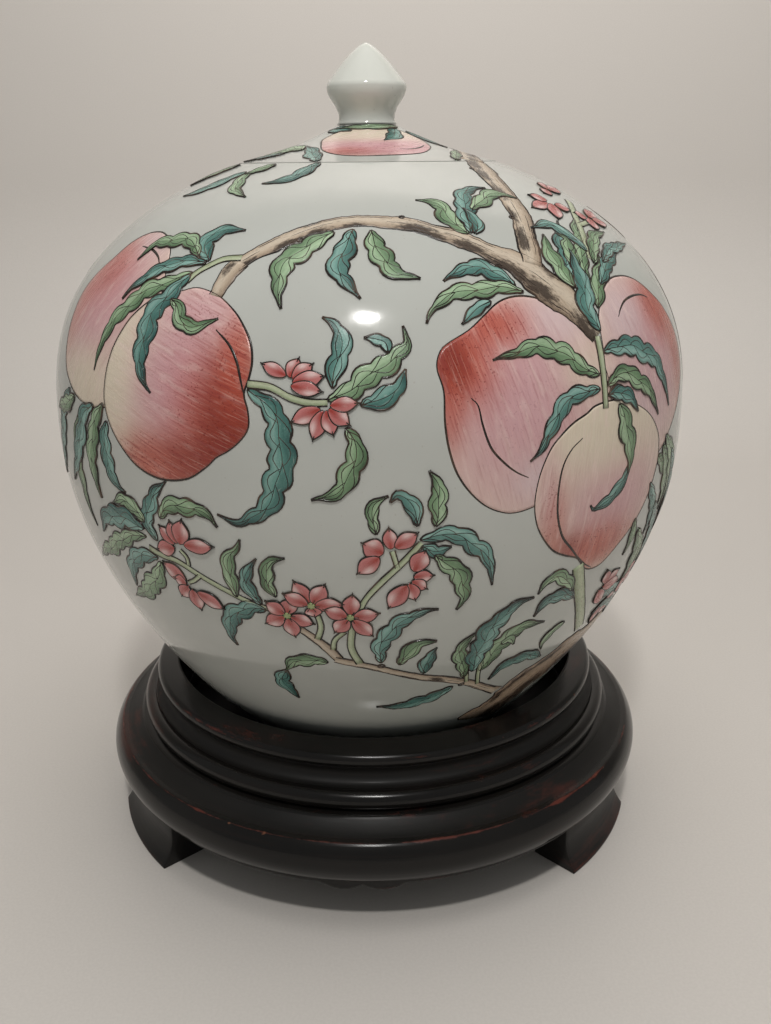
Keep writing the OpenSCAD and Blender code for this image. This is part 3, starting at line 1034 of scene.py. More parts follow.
PEACHES = {  # a wash: colour, place, its reach across and up, and strength
    "peach_b": dict(
        outline=[(-48, 83.5), (-51.5, 84), (-55, 82.5), (-58.5, 78), (-61, 70), (-64, 63), (-66, 55),
                 (-65, 43), (-62, 30), (-58.5, 24), (-55, 20.5), (-51, 19), (-45, 20), (-38, 30),
                 (-36, 50), (-40, 72), (-44, 80)],
        cleft=[(-52, 77), (-47.5, 76), (-44, 73.5), (-42, 70.5)],
        washes=[("P", (-54, 58), 34, 34, 0.95), ("R", (-57, 68), 16, 16, 0.6), ("R", (-63, 52), 10, 22, 0.45),
                ("W", (-48, 80), 14, 7, 0.6), ("C", (-53, 26), 20, 12, 0.85)],
        slant=62, lift=0.02),
    "peach_a": dict(
        outline=[(-33, 61), (-30.5, 62.5), (-28, 62), (-25, 60), (-22, 56), (-20, 52), (-18, 46),
                 (-17.3, 40), (-17.6, 34.5), (-18.2, 30), (-17.5, 25), (-17.4, 20), (-18.6, 16),
                 (-20.5, 12.5), (-22.5, 10), (-24, 7), (-27, 2.6), (-30, 0.8), (-33, 0.5), (-36, 1.8),
                 (-38.5, 4.3), (-41, 8.5), (-43, 13), (-44.5, 18), (-45.3, 23), (-45.4, 29), (-45.2, 34),
                 (-44.6, 40), (-43.4, 46), (-42, 51), (-39, 57), (-36, 60)],
        cleft=[(-24, 49), (-21.3, 44.5), (-19.7, 39.5), (-18.8, 34), (-18.2, 30)],
        washes=[("P", (-29, 32), 26, 34, 0.95), ("R", (-22, 20), 18, 24, 0.9), ("R", (-33, 5), 24, 11, 0.85),
                ("D", (-20, 20), 12, 22, 0.9), ("R", (-20, 40), 7, 20, 0.75), ("P", (-28, 56), 18, 9, 0.6),
                ("D", (-26, 7), 15, 9, 0.6), ("C", (-44, 30), 11, 26, 0.8)],
        slant=-20, lift=0.12),
    "peach_d": dict(
        outline=[(39, 42), (39.6, 48), (41.5, 53.5), (44.5, 58.5), (48, 61.5), (51.5, 62), (55, 61),
                 (58.5, 58), (62, 52.5), (65.5, 46), (68.5, 36), (69, 27), (67, 19), (64, 12), (60, 5.5),
                 (55, -1), (48, -4), (41, 5), (38, 20)],
        cleft=[(45, 48), (46.5, 50.5), (49, 53), (52.5, 54), (56, 53.6), (58.5, 52)],
        washes=[("P", (54, 34), 36, 38, 0.9), ("R", (60, 49), 14, 13, 0.9), ("R", (65, 34), 9, 26, 0.75),
                ("W", (46, 48), 12, 12, 0.75), ("W", (48, 14), 16, 16, 0.6)],
        slant=100, lift=0.02),
    "peach_c": dict(
        outline=[(9.5, 38), (10.2, 43), (11.7, 45.5), (15, 49), (18, 53.5), (20.5, 57), (23, 58.7),
                 (26, 58.8), (29, 57), (32.5, 52.5), (35.5, 47.5), (37, 42.5), (37.8, 37), (39, 25),
                 (38, 8), (32, -3), (24.5, -7.6), (21.5, -8.8), (19.3, -8.3), (16.5, -5.5), (14, -0.5),
                 (12, 6), (10.8, 14), (10.3, 22), (10.3, 31)],
        cleft=[(14.2, 28.5), (15.2, 26), (15.8, 20), (17, 13), (19, 8), (21, 4.5), (23, 2.2)],
        washes=[("P", (22, 26), 38, 44, 0.9), ("R", (13, 39), 13, 15, 0.95), ("R", (19.5, 50.5), 15, 8, 0.85),
                ("D", (11.5, 39), 6, 10, 0.9), ("R", (11, 25), 5, 14, 0.6), ("W", (31, 51), 13, 9, 0.7),
                ("C", (34, 33), 10, 8, 0.6), ("W", (26, 1), 12, 8, 0.8)],
        slant=-72, lift=0.03, hub=(22, 22)),
    "peach_e": dict(
        outline=[(35.5, 21.5), (33.5, 19.5), (31, 17.5), (28.8, 14.5), (26.8, 10.5), (25.2, 4), (24.4, -3),
                 (24.4, -9), (25.2, -15), (26.8, -20.5), (29, -25.5), (31.7, -28.6), (34.5, -31), (36, -34),
                 (37.6, -37.2), (39.5, -38.4), (41.5, -38), (43.2, -36), (45.5, -32), (48.7, -26.5),
                 (51.5, -19), (53.3, -10), (54, -3), (53.5, 4), (51.5, 10), (49, 14.5), (46, 18), (43, 20.5),
                 (39.5, 22)],
        cleft=[(32.6, 12), (30.5, 9), (29, 4), (28.4, -3), (28.5, -10), (29.2, -16), (30.5, -21.5),
               (32.5, -26), (34.5, -30.5), (37, -35), (39, -37.5)],
        washes=[("P", (41, -14), 34, 21, 0.85), ("R", (38, -29), 24, 10, 0.85), ("R", (28, -16), 6, 16, 0.5),
                ("D", (32, -26), 5, 6, 0.5), ("P", (26.5, 0), 6, 16, 0.5), ("C", (38, 12), 20, 12, 0.8)],
        slant=84, lift=0.13),
    "peach_f": dict(
        outline=[(92, 60), (88.5, 62), (85.5, 60.5), (82.8, 55.5), (81, 48), (80.5, 38), (81.2, 27), (83, 17),
                 (86, 8.5), (89, 2.5), (91.5, 0), (94.5, 3), (97.6, 9), (99.9, 17), (101, 26), (101.2, 36),
                 (100.6, 46), (98.8, 54), (96.3, 59.8), (94.2, 61.8)],
        cleft=[(93, 59), (90.4, 53), (88.6, 44), (88, 33), (88.6, 21), (90.2, 10), (92.2, 3)],
        washes=[("P", (92, 29), 32, 36, 0.9), ("R", (93, 11), 24, 13, 0.85), ("D", (92, 5), 10, 6, 0.6),
                ("R", (83.5, 25), 6, 20, 0.5), ("C", (97.5, 51), 18, 11, 0.8), ("W", (84.5, 53), 8, 9, 0.6)],
        slant=86, lift=0.05),
}

LEAVES = [  # teal or green, width, and course from the stem to the tip
    ("T", 8, [(-30, 73), (-32.5, 77), (-33, 82), (-30.5, 86.5), (-25.7, 86.5)]),
    ("G", 7, [(-33, 74.5), (-36.5, 80), (-40, 81), (-44.5, 80), (-47.5, 78), (-49.5, 71)]),
    ("T", 6, [(-30.5, 72), (-35.5, 72), (-39, 70), (-43, 65), (-45.5, 60.5), (-46.7, 56)]),
    ("G", 8, [(-32.5, 68), (-35.5, 65), (-39, 62), (-42.5, 58), (-45.5, 51), (-47.7, 44), (-49, 31)]),
    ("T", 10, [(-32.5, 67), (-34.7, 61), (-37, 54), (-37.7, 46), (-37.5, 40), (-36.5, 32), (-34.3, 27.5)]),
    ("G", 6, [(-34.5, 58), (-32.5, 55.5), (-30.5, 51), (-28, 49), (-24, 52.5)]),
    ("G", 7, [(-55.5, 20), (-59, 16), (-62, 15), (-66, 12)]),
    ("T", 9, [(-48.5, 19.5), (-52, 14.5), (-53.8, 6), (-56, -2), (-60, -12)]),
    ("G", 8, [(-45.5, 21), (-48, 13), (-49.5, 4), (-49.5, -5), (-48.5, -13)]),
    ("T", 8, [(-44.5, 15.5), (-45.5, 8), (-44.5, 1), (-43.5, -5), (-41, -7.5)]),
    ("G", 7, [(-51, 17), (-55, 8), (-55.5, -6), (-55, -20), (-54, -27)]),
    ("T", 9, [(-58, 22), (-62, 12), (-65, -4), (-68, -14)]),
    ("G", 9, [(-6.8, 86), (-10, 81.5), (-13.3, 76.5), (-14.8, 71.5), (-15.2, 65), (-13.8, 56.5)]),
    ("T", 8, [(-3, 87), (-4, 81), (-5, 74), (-4.5, 67.5), (-1.4, 60)]),
    ("G", 8, [(0.5, 86.5), (1.2, 81), (2.4, 74), (4.7, 69), (8.5, 66.5)]),
    ("T", 10, [(-17.7, 31.5), (-14.8, 27.5), (-12.9, 21.5), (-12.7, 13), (-13, 5), (-14.8, -3), (-17, -8),
               (-20, -10.5), (-23, -8.5)]),
    ("T", 7, [(-5.3, 32.5), (-5, 39), (-4, 46.5), (-5, 51.5), (-7.2, 54)]),
    ("G", 8, [(-6, 29), (-2.5, 32.5), (0.8, 37.5), (3.5, 41.5), (5.4, 45), (4.9, 51)]),
    ("T", 7, [(-1.4, 27.5), (1.2, 29.5), (3.9, 32.5), (5, 38)]),
    ("T", 4, [(2.6, 43), (2, 46.5), (-0.9, 47.5)]),
    ("G", 7.5, [(-3.4, 21), (-2.2, 16.5), (-2.6, 9), (-4.5, 1.8), (-8.5, -1.3)]),
    ("G", 7.5, [(36.8, 31), (34.5, 33), (32, 36.5), (29.5, 40), (27, 42), (23.5, 41.5), (20.5, 40.5),
                (18, 39.2)]),
    ("T", 6.5, [(36.6, 26.5), (34, 26.5), (31.5, 26), (29, 23), (27.3, 19), (26.3, 15), (25.3, 11),
                (23.2, 7.3)]),
    ("T", 8.5, [(38.5, 38), (41, 38.5), (44, 38.5), (47, 37), (50, 34.5), (52.5, 31.5), (54.5, 27), (56, 21),
                (57.5, 13.5)]),
    ("G", 7, [(38.3, 27), (40.5, 29.5), (43, 29.5), (46, 27), (49, 22.5), (51, 18), (52.7, 12.5)]),
    ("T", 6, [(38.3, 24), (40.5, 24.3), (42.5, 23), (44.3, 20), (45.7, 16.3)]),
    ("G", 9, [(40.7, 20.5), (42, 15), (43.2, 8), (43.8, 1), (43.6, -4)]),
    ("T", 5.5, [(44, -1), (42.8, -6), (40.3, -10), (37.5, -13), (36, -13.5), (35.2, -11.5)]),
    ("T", 7, [(24.8, 62.5), (22.5, 67), (20, 69.5), (17, 69.7), (14.5, 68.2), (12.3, 65.5)]),
    ("G", 6.5, [(26, 60.3), (23, 62), (20, 62.3), (16.5, 61.7), (13, 60.5), (10.5, 57.5), (9.2, 54.5),
                (8.6, 51.5)]),
    ("T", 4, [(19.5, 57.8), (17.5, 56), (15.5, 53.5), (14, 50.8)]),
    ("T", 9, [(39, 44.5), (38, 50), (38.3, 56), (39.5, 62), (40.5, 68), (41.5, 75)]),
    ("G", 8, [(37, 60), (35.7, 68), (36, 75), (37.5, 82)]),
    ("G", 7, [(40.5, 52), (42.5, 58), (44.5, 62), (47, 66), (49.5, 71)]),
    ("T", 6, [(44, 60), (48, 65), (53, 69), (58, 71)]),
    ("T", 6, [(46.5, 73), (46, 78), (44.3, 83), (42, 86.3), (39, 86.5), (35.7, 85.5)]),
    ("G", 7, [(39, 66), (41, 73), (43, 79), (41.5, 82)]),
    ("G", 6, [(46, 68), (50, 75), (54, 79), (61, 80)]),
    ("T", 5, [(49, 68), (54, 72), (60, 73), (68, 73)]),
    ("G", 8, [(20, 84), (18.5, 88), (17.5, 93), (16.8, 98), (14.8, 101.3), (11.5, 102.3)]),
    ("T", 8, [(20.5, 84.5), (21.5, 90), (22.3, 96), (24, 102), (26.5, 106.5), (29.5, 109), (34, 109)]),
    ("G", 7, [(24, 96), (27, 99.5), (30.5, 102.5), (34, 104.7), (37.5, 104.3), (40.5, 101.5)]),
    ("T", 5, [(21.5, 84), (23, 88), (23.3, 92), (22, 97)]),
    ("G", 6.5, [(9, -10.5), (9.4, -4), (9.3, 2), (8, 7.5)]),
    ("T", 5.5, [(6.4, -10), (5.9, -5), (4.7, -1), (3.4, 0.5), (2.5, -2)]),
    ("G", 4.5, [(0.5, -12.5), (0, -7.5), (0.3, -3), (1.5, -0.8), (2.3, 0)]),
    ("T", 7, [(6.8, -15), (9.5, -13.5), (12.5, -14.5), (15, -18), (17, -23), (18.2, -29), (18.7, -34.5)]),
    ("T", 5, [(7, -17), (8.5, -18.8), (10, -18.8), (11.5, -18)]),
    ("G", 7.5, [(9, -20.5), (11.5, -25), (13.3, -30), (14.2, -36), (13.9, -40), (13.2, -43)]),
    ("T", 7.5, [(1.2, -66.5), (1, -61), (1.5, -55), (3, -49.5), (5.5, -45), (8, -42.3), (10.3, -42)]),
    ("G", 6.5, [(4.5, -68), (5.3, -63.5), (6.3, -60), (8, -57.5), (10.7, -57)]),
    ("T", 6, [(9.4, -74.5), (9.2, -70), (9.9, -65), (11, -60.5)]),
    ("G", 7, [(-8.3, -67), (-11.5, -66), (-14.8, -68.5), (-17, -74)]),
    ("T", 7, [(-16.8, -73.5), (-18.3, -79), (-18, -85), (-16.5, -92)]),
    ("T", 7, [(16.2, -85.5), (13, -90), (9, -94), (5, -95.7), (0.3, -96)]),
    ("G", 6, [(17.8, -80), (16.7, -71), (15.2, -64), (16.5, -58), (18.2, -55)]),
    ("T", 10, [(19.3, -77), (19, -68), (19.5, -60), (21, -52), (23, -46.5), (25.5, -44), (27.3, -43.5)]),
    ("G", 9, [(21, -78), (22.5, -69), (24, -62), (26, -58.5), (29, -57), (32, -57.8)]),
    ("G", 4, [(23.5, -64), (25, -62), (26.5, -66)]),
    ("G", 6, [(36, -46), (34.2, -40.5), (31.5, -37), (29, -38), (28, -42.7)]),
    ("T", 6.5, [(37, -49.5), (34.5, -46.2), (31.5, -46.5), (29.5, -49), (28.7, -53.3)]),
    ("G", 4, [(38, -62), (35.5, -65), (34.3, -70), (35, -74.5)]),
    ("T", 6.5, [(36.5, -80), (32.5, -76.3), (28.5, -76), (26, -79), (24.3, -85.5)]),
    ("G", 9, [(54, -3), (57.5, -8), (62, -13), (67, -15)]),
    ("T", 6, [(52, -12), (55, -20), (56.5, -28), (56, -36)]),
    ("G", 5, [(49, -24), (50, -31), (49, -39)]),
    ("T", 7, [(45, -52), (50, -56), (56, -58), (62, -56)]),
    ("G", 9, [(57, 3), (61, -6), (63, -17), (61, -28)]),
    ("T", 8, [(61, -4), (64.5, -15), (65.5, -27), (63, -38)]),
    ("G", 8, [(55, -34), (58, -44), (60, -54), (58, -64)]),
    ("T", 8, [(61, -36), (65, -46), (67, -58), (66, -66)]),
    ("T", 7, [(-35.5, -22.5), (-36.9, -17), (-36, -11), (-34.3, -5), (-31.7, 0)]),
    ("G", 7, [(-33.8, -13.5), (-32.5, -9.5), (-30, -7.7), (-27, -7.5), (-24.5, -9.5), (-23.2, -13)]),
    ("G", 6.5, [(-37.5, -16.5), (-39, -12.5), (-41, -10.8), (-43, -11), (-45, -12.7)]),
    ("T", 10, [(-38, -19), (-41.5, -17.7), (-44.5, -17.2), (-47, -18.7), (-49.5, -22), (-51.5, -27.5)]),
    ("G", 7.5, [(-38, -22), (-42, -24), (-46, -28), (-50, -33), (-55, -38), (-60, -44)]),
    ("T", 8, [(-36.5, -29.5), (-40.5, -31), (-43.5, -34), (-45.5, -40), (-47, -48)]),
    ("G", 9, [(-36, -31), (-37.7, -37), (-40.5, -43), (-44.5, -49), (-50, -55)]),
    ("G", 6, [(-22, -39), (-22.4, -33), (-22.5, -28), (-21.8, -23), (-20.5, -19.5), (-19.8, -16.3)]),
    ("T", 5.5, [(-18, -41), (-19.3, -36), (-19.8, -31), (-19, -26.5), (-17.5, -22.8)]),
    ("G", 5.5, [(-15.2, -37), (-16.4, -31), (-16, -26), (-15.2, -23), (-13, -21.7)]),
    ("T", 8.5, [(-17.3, -43), (-20.5, -43.5), (-23.5, -47), (-25, -53), (-26, -58), (-25.3, -63.5)]),
    ("T", 7, [(-19, 131), (-20.7, 126), (-22.8, 121), (-25.7, 117), (-29, 114.5), (-32.5, 113.7)]),
    ("G", 6, [(-45.5, 123), (-43.5, 116), (-40, 110), (-37, 107), (-33, 104.5)]),
    ("T", 7, [(-47, 122.5), (-50, 118), (-53, 112), (-56, 107), (-61, 104)]),
    ("G", 6, [(-38.4, 129.4), (-40, 127), (-42, 124), (-45.5, 120.5)]),
    ("G", 7, [(-65, 129.5), (-68, 124.5), (-70.5, 119), (-72.5, 111)]),
    ("G", 7, [(41.5, 62), (43, 70), (47, 77), (50, 84), (55, 89)]),
    ("T", 7, [(38.5, 58), (37.5, 66), (39.5, 73), (41.5, 80), (46, 88)]),
    ("G", 8, [(56, 0), (59, -10), (60.5, -20), (59.5, -30)]),
    ("T", 8, [(57, -22), (60, -33), (61, -44), (59, -54)]),
    ("G", 8, [(52, -30), (55, -40), (56, -50), (54, -60)]),
    ("T", 7, [(48, -66), (52, -64), (56, -67), (58, -74)]),
    ("G", 8, [(86, 72), (84, 79), (84.5, 86), (87, 92)]),
    ("T", 7, [(88.5, 73), (88.3, 80), (87.5, 86), (86.5, 92)]),
    ("G", 6, [(90, 72), (90.4, 77), (90, 84), (89.5, 91)]),
    ("T", 8, [(91, 69), (93, 63), (93.8, 55), (92.8, 46), (90, 40)]),
    ("G", 7, [(90, 69), (87, 64), (85.5, 57), (86.5, 49)]),
    ("T", 8, [(80, -10), (84, -7), (88, -8), (91, -12), (92, -19)]),
    ("G", 8, [(98, -23), (102, -25), (105, -30), (105.5, -38)]),
    ("T", 8, [(99.5, -16), (101, -14), (101.8, -9), (101.5, -3)]),
    ("G", 7, [(101, -11), (99, -6), (96, -2)]),
    ("T", 7, [(99.8, -4), (100.4, 3), (100.2, 10), (99.4, 17)]),
    ("G", 9, [(87, -50), (92, -55), (98, -57), (104, -53)]),
    ("T", 9, [(82, -62), (88, -68), (93, -77), (95, -88)]),
    ("G", 8, [(78, -69), (81, -79), (83, -90), (82, -101)]),
]

BRANCHES = [  # widths, course, dark places
    ([5, 5.5, 6, 5.5, 5, 5, 5.5, 6, 8, 8, 10, 13, 13, 9, 5],
     [(-24, 71), (-20.5, 77), (-14, 85), (-9.5, 89), (-5, 91), (0, 91.3), (5, 90.3), (9, 89), (14, 85.3),
      (17, 83.3), (22, 77.5), (27, 70.5), (31, 63), (35, 53), (38, 43)],
     [(10, 86.5, 5), (13, 83.5, 3), (-3, 88.5, 3), (-10, 86, 3), (-16, 80, 3), (-22, 72, 3), (19, 79, 4),
      (25, 69, 6), (29.5, 61, 5), (33, 69, 4), (36, 46, 5)]),
    ([5, 6, 7], [(-25.9, 60), (-25, 67), (-23.5, 73)], [(-25, 71, 2)]),
    ([7.5, 8, 8, 8, 8, 8.5, 8.5, 8],
     [(30.5, 70), (32.7, 80), (34.7, 88), (36.7, 96), (39, 105.5), (40.7, 113), (44, 121), (50.5, 131)],
     [(31.5, 81, 4), (34, 92, 3), (37.5, 107, 4), (41, 119, 4), (46, 128, 4)]),
    ([3, 3, 2.6], [(-6.3, -65), (-9, -57), (-12.5, -50)], []),
    ([4.5, 4, 3.5, 3.2, 3.2, 3, 2.6],
     [(29, -97), (24, -90.5), (20, -85.5), (14, -80), (8, -76), (0, -69.5), (-7, -65.5)], [(12, -79, 2)]),
]

TRUNKS = [
    ([20, 22, 24, 22, 19, 16, 13, 11, 9, 7.5, 7, 6.5, 6, 5.5, 5, 4],
     [(31, -122), (36, -106), (43, -92), (54, -84), (66, -77), (76, -68), (83, -57), (86, -42), (84, -26),
      (80.5, -8), (78, 10), (77.8, 30), (79.2, 48), (82, 62), (87, 70), (93, 72)],
     [(34, -118, 8), (40, -106, 9), (52, -94, 9), (64, -88, 7), (31, -102, 4), (35, -93, 3.5), (41, -84, 4),
      (80, -64, 6), (85, -38, 4), (78, 12, 3), (81, 58, 3)]),
]

TWIGS = [  # width and course
    (2.2, [(-23.5, 74.5), (-27, 73.8), (-29.3, 71.3), (-31.5, 68), (-32.7, 64.5)]),
    (2.2, [(-17.7, 33), (-14.4, 32.5), (-11.4, 29.6), (-8.7, 28.3), (-6, 28.3)]),
    (2.6, [(38, 43), (37.8, 36), (37.6, 28), (37.5, 20)]),
    (2, [(7, -16), (4, -23.5), (1, -30.5), (-1.3, -37), (-3, -46)]),
    (2.6, [(-2.5, -67), (-3.5, -62), (-3.9, -57), (-3.4, -48)]),
    (2, [(-9.5, -55), (-8.6, -49), (-9, -43)]),
    (1.8, [(-7, -60), (-6.5, -55), (-4.8, -51)]),
    (2.2, [(-38, -26.5), (-35.5, -28), (-32, -29), (-28, -33), (-24, -37), (-19, -41.5), (-14, -44)]),
    (1.6, [(-28.3, -33), (-29.7, -35.5), (-31, -37)]),
    (1.5, [(-30, -29.5), (-30, -26.5), (-31, -24)]),
    (1.6, [(17.6, -72), (18.2, -78), (19, -84)]),
    (1.6, [(20.5, -73), (21, -80), (22, -87)]),
    (5, [(35.5, -35), (37, -42), (39, -50), (42, -60), (46, -72)]),
    (3, [(46, 70), (50, 80), (56, 90), (64, 98)]),
    (2, [(53, 85), (59, 86), (66, 86)]),
    (1.6, [(2.8, -18.5), (3.2, -21.5), (3.6, -24.5)]),
    (2.6, [(86, -40), (91, -31), (97, -24), (101, -14), (102.5, -3)]),
    (1.8, [(97, -24), (95, -20), (93, -18)]),
    (1.8, [(91, -31), (96, -34), (99.5, -38)]),
    (2.4, [(91, 71), (92.5, 66), (92, 59)]),
]

FLOWERS = [  # hub and the tips of the petals
    ((-13.9, -44.5), [(-13, -37.5), (-9.8, -47.5), (-13.2, -54), (-17.8, -49), (-17, -39.5)]),
    ((-3.7, -44), [(-3.2, -34.7), (0.7, -42.5), (-0.3, -52.3), (-6.3, -50.7), (-7.6, -40.8)]),
    ((-9.7, -39.5), [(-12, -30.3), (-7.3, -31), (-4.8, -38.5), (-9.3, -44), (-13.8, -35.5)]),
    ((92.5, -17), [(92.5, -8.5), (96.5, -15), (95, -25), (90, -25), (88.5, -15)]),
    ((100, -40), [(99, -31.5), (104, -37), (103, -47.5), (98, -48), (96, -39)]),
]

SPRAYS = [  # petals seen from the side: foot, tip, width
    (((1.5, -19), (-1.4, -15.5), 7), ((2.6, -17.5), (2.3, -10.5), 4.5), ((3.2, -17), (6.3, -12.5), 5.5),
     ((0.9, -20.3), (-2.2, -26), 6)),
    (((6, -26), (7.6, -18.7), 6.5), ((6, -28), (8.9, -28), 4.5), ((5.8, -29.5), (8, -32.8), 4.5),
     ((5.4, -30.5), (6.4, -37), 5), ((5, -31), (2.4, -39.8), 6.5)),
    (((-12, 36), (-15.6, 39.3), 4), ((-11.5, 35.5), (-10.3, 41), 5), ((-11, 35), (-8.3, 39.5), 5),
     ((-11, 34), (-6.6, 36), 5), ((-11.2, 33), (-6.9, 31.6), 4.5)),
    (((-7, 26.5), (-11, 22.5), 5), ((-6.6, 26), (-8, 17.5), 5), ((-6.2, 26), (-5.2, 19), 5),
     ((-5.8, 26.5), (-3, 22), 5), ((-5.6, 27.5), (-1.8, 28.3), 4.5)),
    (((-32, -23.5), (-35.8, -25.5), 6), ((-31.8, -22), (-34.2, -16.5), 5), ((-31.2, -21.5), (-32, -14), 5.5),
     ((-30.6, -21.5), (-29.6, -12.7), 7), ((-29.8, -21.5), (-24.6, -20.5), 5.5)),
    (((-31.5, -37), (-35.3, -30.7), 6.5), ((-31.5, -37.5), (-33.7, -36), 5),
     ((-31.3, -38.5), (-33.5, -43.7), 5.5), ((-30.6, -39.5), (-30.2, -48), 6),
     ((-29.6, -40), (-25.3, -45.3), 6)),
    (((50, 98), (42.5, 96), 5), ((51, 97), (47, 89), 6), ((51, 99), (47, 103), 5), ((52, 96), (56, 93), 5)),
    (((60, 105), (56, 104), 5), ((61, 106), (66, 110), 6), ((62, 105), (70, 106), 6)),
    (((60, 88), (57, 91), 5), ((61, 87), (58, 82), 6), ((62, 88), (69, 90), 6), ((62, 86), (68, 83), 5)),
    (((56, -53), (60, -50), 6), ((56, -54), (61, -58), 6), ((55, -54), (57, -62), 6)),
    (((51, -63), (55, -61), 6), ((51, -64), (55, -69), 6), ((50, -64), (50, -72), 5)),
    (((46, -50), (50, -46), 6), ((46, -51), (52, -52), 6), ((45, -52), (48, -60), 6),
     ((46, -49), (45, -43), 5)),
]


def paint_peach_group(spray, names, suffix):
    for name in names:
        peach(name + suffix, "jar", "jar_porcelain", spray, **PEACHES[name])


def paint_side(spray, suffix):
    """All the motifs of one side of the jar, back to front."""
    for widths, points, stains in BRANCHES:
        branch(spray, widths, points, stains)
    for widths, points, stains in TRUNKS:
        branch(spray, widths, points, stains, TRUNK, 1.2)
    paint_peach_group(spray, ("peach_b", "peach_a", "peach_d", "peach_c", "peach_e", "peach_f"), suffix)
    for width, points in TWIGS:
        branch(spray, [width, width * 0.9], points, (), TWIG, 0.4, 0.17)
    for kind, width, points in LEAVES:
        leaf(spray, kind, width, points)
    for hub, tips in FLOWERS:
        blossom(spray, hub, tips)
    for petals in SPRAYS:
        for level, (base, tip, width) in enumerate(petals):
            petal(spray, width, base, tip, level)
    spray.finish()


# ---------------------------------------------------------------- painting: motifs of the lid

LID_PEACH = dict(
    outline=[(-44, 160), (-36, 153.5), (-27, 147), (-16, 142.3), (-5, 140.3), (8, 140.8), (20, 141.7),
             (30, 143.3), (40, 147), (50, 152), (56, 160), (48, 167), (20, 169), (-10, 169), (-34, 167)],
    cleft=[(44, 152), (36, 149.5), (28, 148), (20, 148)],
    washes=[("P", (5, 151), 30, 12, 0.95), ("R", (-8, 146), 12, 5, 0.7), ("D", (-6, 143), 8, 3, 0.5),
            ("P", (22, 148), 14, 8, 0.8), ("C", (0, 163), 24, 6, 0.8)],
    slant=20, lift=0.12, hub=(4, 156))

LID_LEAVES = [  # as LEAVES
    ("T", 7, [(-21.5, 132.8), (-25, 138), (-29.5, 142.5), (-35, 146.5), (-41, 149.5), (-48, 152)]),
    ("G", 9, [(-44, 148), (-56, 149.5), (-67, 145), (-77, 136)]),
    ("T", 6, [(-54, 144), (-62, 141), (-70, 137), (-76, 133.5)]),
    ("G", 4.5, [(56, 169.5), (30, 169.5), (0, 169.5), (-24, 169), (-50, 167.5)]),
    ("T", 7, [(44, 168.5), (34, 164), (24, 160.5), (14, 157)]),
    ("T", 6, [(60, 166), (66, 158), (72, 150)]),
    ("G", 4.5, [(41, 133), (48, 138.5), (58, 143), (72, 146.5)]),
    ("T", 6, [(-60, 166), (-40, 168), (-20, 166)]),
]

LID_BRANCHES = [  # as BRANCHES
    ([8, 8, 7, 6], [(51.5, 132.4), (60, 138), (74, 143), (92, 147)], [(54, 134, 3), (68, 140, 4)]),
]


def paint_lid(spray, suffix):
    for widths, points, stains in LID_BRANCHES:
        branch(spray, widths, points, stains)
    peach("lid_peach" + suffix, "lid", "lid_porcelain", spray, **LID_PEACH)
    for kind, width, points in LID_LEAVES:
        leaf(spray, kind, width, points)
    spray.finish()


def make_painting():
    paint_side(Spray("front", "jar", "jar_porcelain"), "_front")
    paint_side(Spray("back", "jar", "jar_porcelain", 180.0), "_back")
    paint_lid(Spray("lid_front", "lid", "lid_porcelain"), "_front")
    paint_lid(Spray("lid_back", "lid", "lid_porcelain", 180.0), "_back")


# ---------------------------------------------------------------- floor, light and camera


def make_floor():
    """A pale table top that curves up into a plain wall behind."""
    half_width, front, bend_start, bend_r, wall_top = 4.0, -4.0, 0.5, 0.25, 2.2
    verts, faces = [], []
    path = [(front, 0.0), (bend_start, 0.0)]
    for a in np.linspace(0, math.pi / 2, 12):
        path.append((bend_start + bend_r * math.sin(a), bend_r * (1 - math.cos(a))))
    path.append((bend_start + bend_r, wall_top))
    for y, z in path:
        verts += [(-half_width, y, z), (half_width, y, z)]
    for i in range(len(path) - 1):
        faces.append((2 * i, 2 * i + 1, 2 * i + 3, 2 * i + 2))
    mesh = bpy.data.meshes.new("floor")
    mesh.from_pydata(verts, [], faces)
    mesh.shade_smooth()
    n = Nodes("floor_pale", Roughness=0.45)
    grain = n.noise(n.place(), 900.0, 2.0)
    n.set("Base Color", n.mix(n.ramp(grain, 0.3, 0.7), srgb(212, 207, 201), srgb(208, 203, 197)))
    mesh.materials.append(n.material)
    floor = bpy.data.objects.new("floor", mesh)
    bpy.context.scene.collection.objects.link(floor)


def area_light(name, place, target, size, power, colour=(1, 1, 1), shape="SQUARE", size_y=None):
    light = bpy.data.lights.new(name, "AREA")
    light.shape = shape
    light.size = size
    if size_y:
        light.size_y = size_y
    light.energy = power
    light.color = colour
    obj = bpy.data.objects.new(name, light)
    obj.location = place
    obj.rotation_euler = (Vector(target) - Vector(place)).to_track_quat("-Z", "Y").to_euler()
    bpy.context.scene.collection.objects.link(obj)
    return obj


CAMERA_PLACE = Vector((0.0, -0.4142, 0.2665))


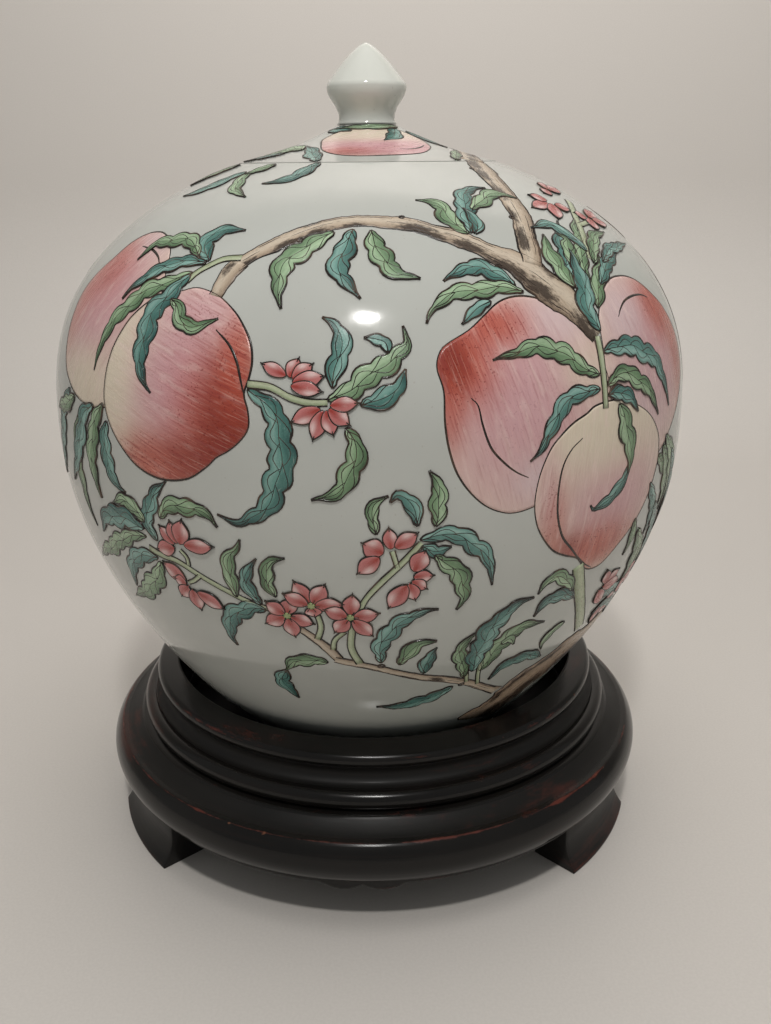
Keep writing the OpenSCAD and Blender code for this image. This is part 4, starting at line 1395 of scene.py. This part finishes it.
def glint_light():
    """A small lamp placed where the glaze mirrors it to the camera, high on the front."""
    spot = np.array([-0.5, 54.0])
    here = Vector(surface(spot))
    normal = (Vector(surface(spot, 1.0)) - here).normalized()
    view = (CAMERA_PLACE - here).normalized()
    out = (2 * view.dot(normal) * normal - view).normalized()
    area_light("glint", here + out * 1.1, here, 0.1, 5.0, (1.0, 0.98, 0.95), "ELLIPSE", 0.07)


def make_lights():
    world = bpy.data.worlds.new("studio")
    world.use_nodes = True
    world.node_tree.nodes["Background"].inputs["Color"].default_value = (0.93, 0.94, 0.93, 1)
    world.node_tree.nodes["Background"].inputs["Strength"].default_value = 0.27
    bpy.context.scene.world = world
    key = area_light("key", (0.05, -0.32, 1.25), (0, -0.05, 0.2), 0.8, 0.76, (1.0, 0.96, 0.93))
    key.data.spread = math.radians(100)
    key.visible_glossy = False
    fill = area_light("fill", (0.3, -1.3, 0.9), (0, 0, 0.2), 0.6, 0.02, (1.0, 0.98, 0.95))
    fill.data.spread = math.radians(45)
    fill.visible_glossy = False
    back = area_light("back", (0.22, 0.15, 1.4), (0.2, 0.2, 0.2), 1.2, 5.1, (1.0, 0.97, 0.94))
    back.visible_glossy = False
    wall = area_light("wall", (0.1, -0.1, 1.7), (0.1, 0.75, 1.05), 0.6, 3.8, (1.0, 0.97, 0.94))
    wall.data.spread = math.radians(80)
    wall.visible_glossy = False
    glint_light()


def make_camera():
    pitch, yaw, roll = math.radians(18.94), math.radians(0.79), math.radians(-0.53)
    ahead = Vector((math.sin(yaw) * math.cos(pitch), math.cos(yaw) * math.cos(pitch), -math.sin(pitch)))
    right = Vector((math.cos(yaw), -math.sin(yaw), 0))
    up = right.cross(ahead)
    side = right * math.cos(roll) + up * math.sin(roll)
    over = up * math.cos(roll) - right * math.sin(roll)
    data = bpy.data.cameras.new("camera")
    data.lens = 35.65
    data.sensor_width = 36
    data.clip_start = 0.01
    camera = bpy.data.objects.new("camera", data)
    camera.matrix_world = Matrix((side, over, -ahead)).transposed().to_4x4()
    camera.location = CAMERA_PLACE
    bpy.context.scene.collection.objects.link(camera)
    bpy.context.scene.camera = camera


make_camera()
make_lights()
make_floor()
make_jar()
make_stand()
make_painting()
bpy.context.scene.view_settings.view_transform = "Standard"
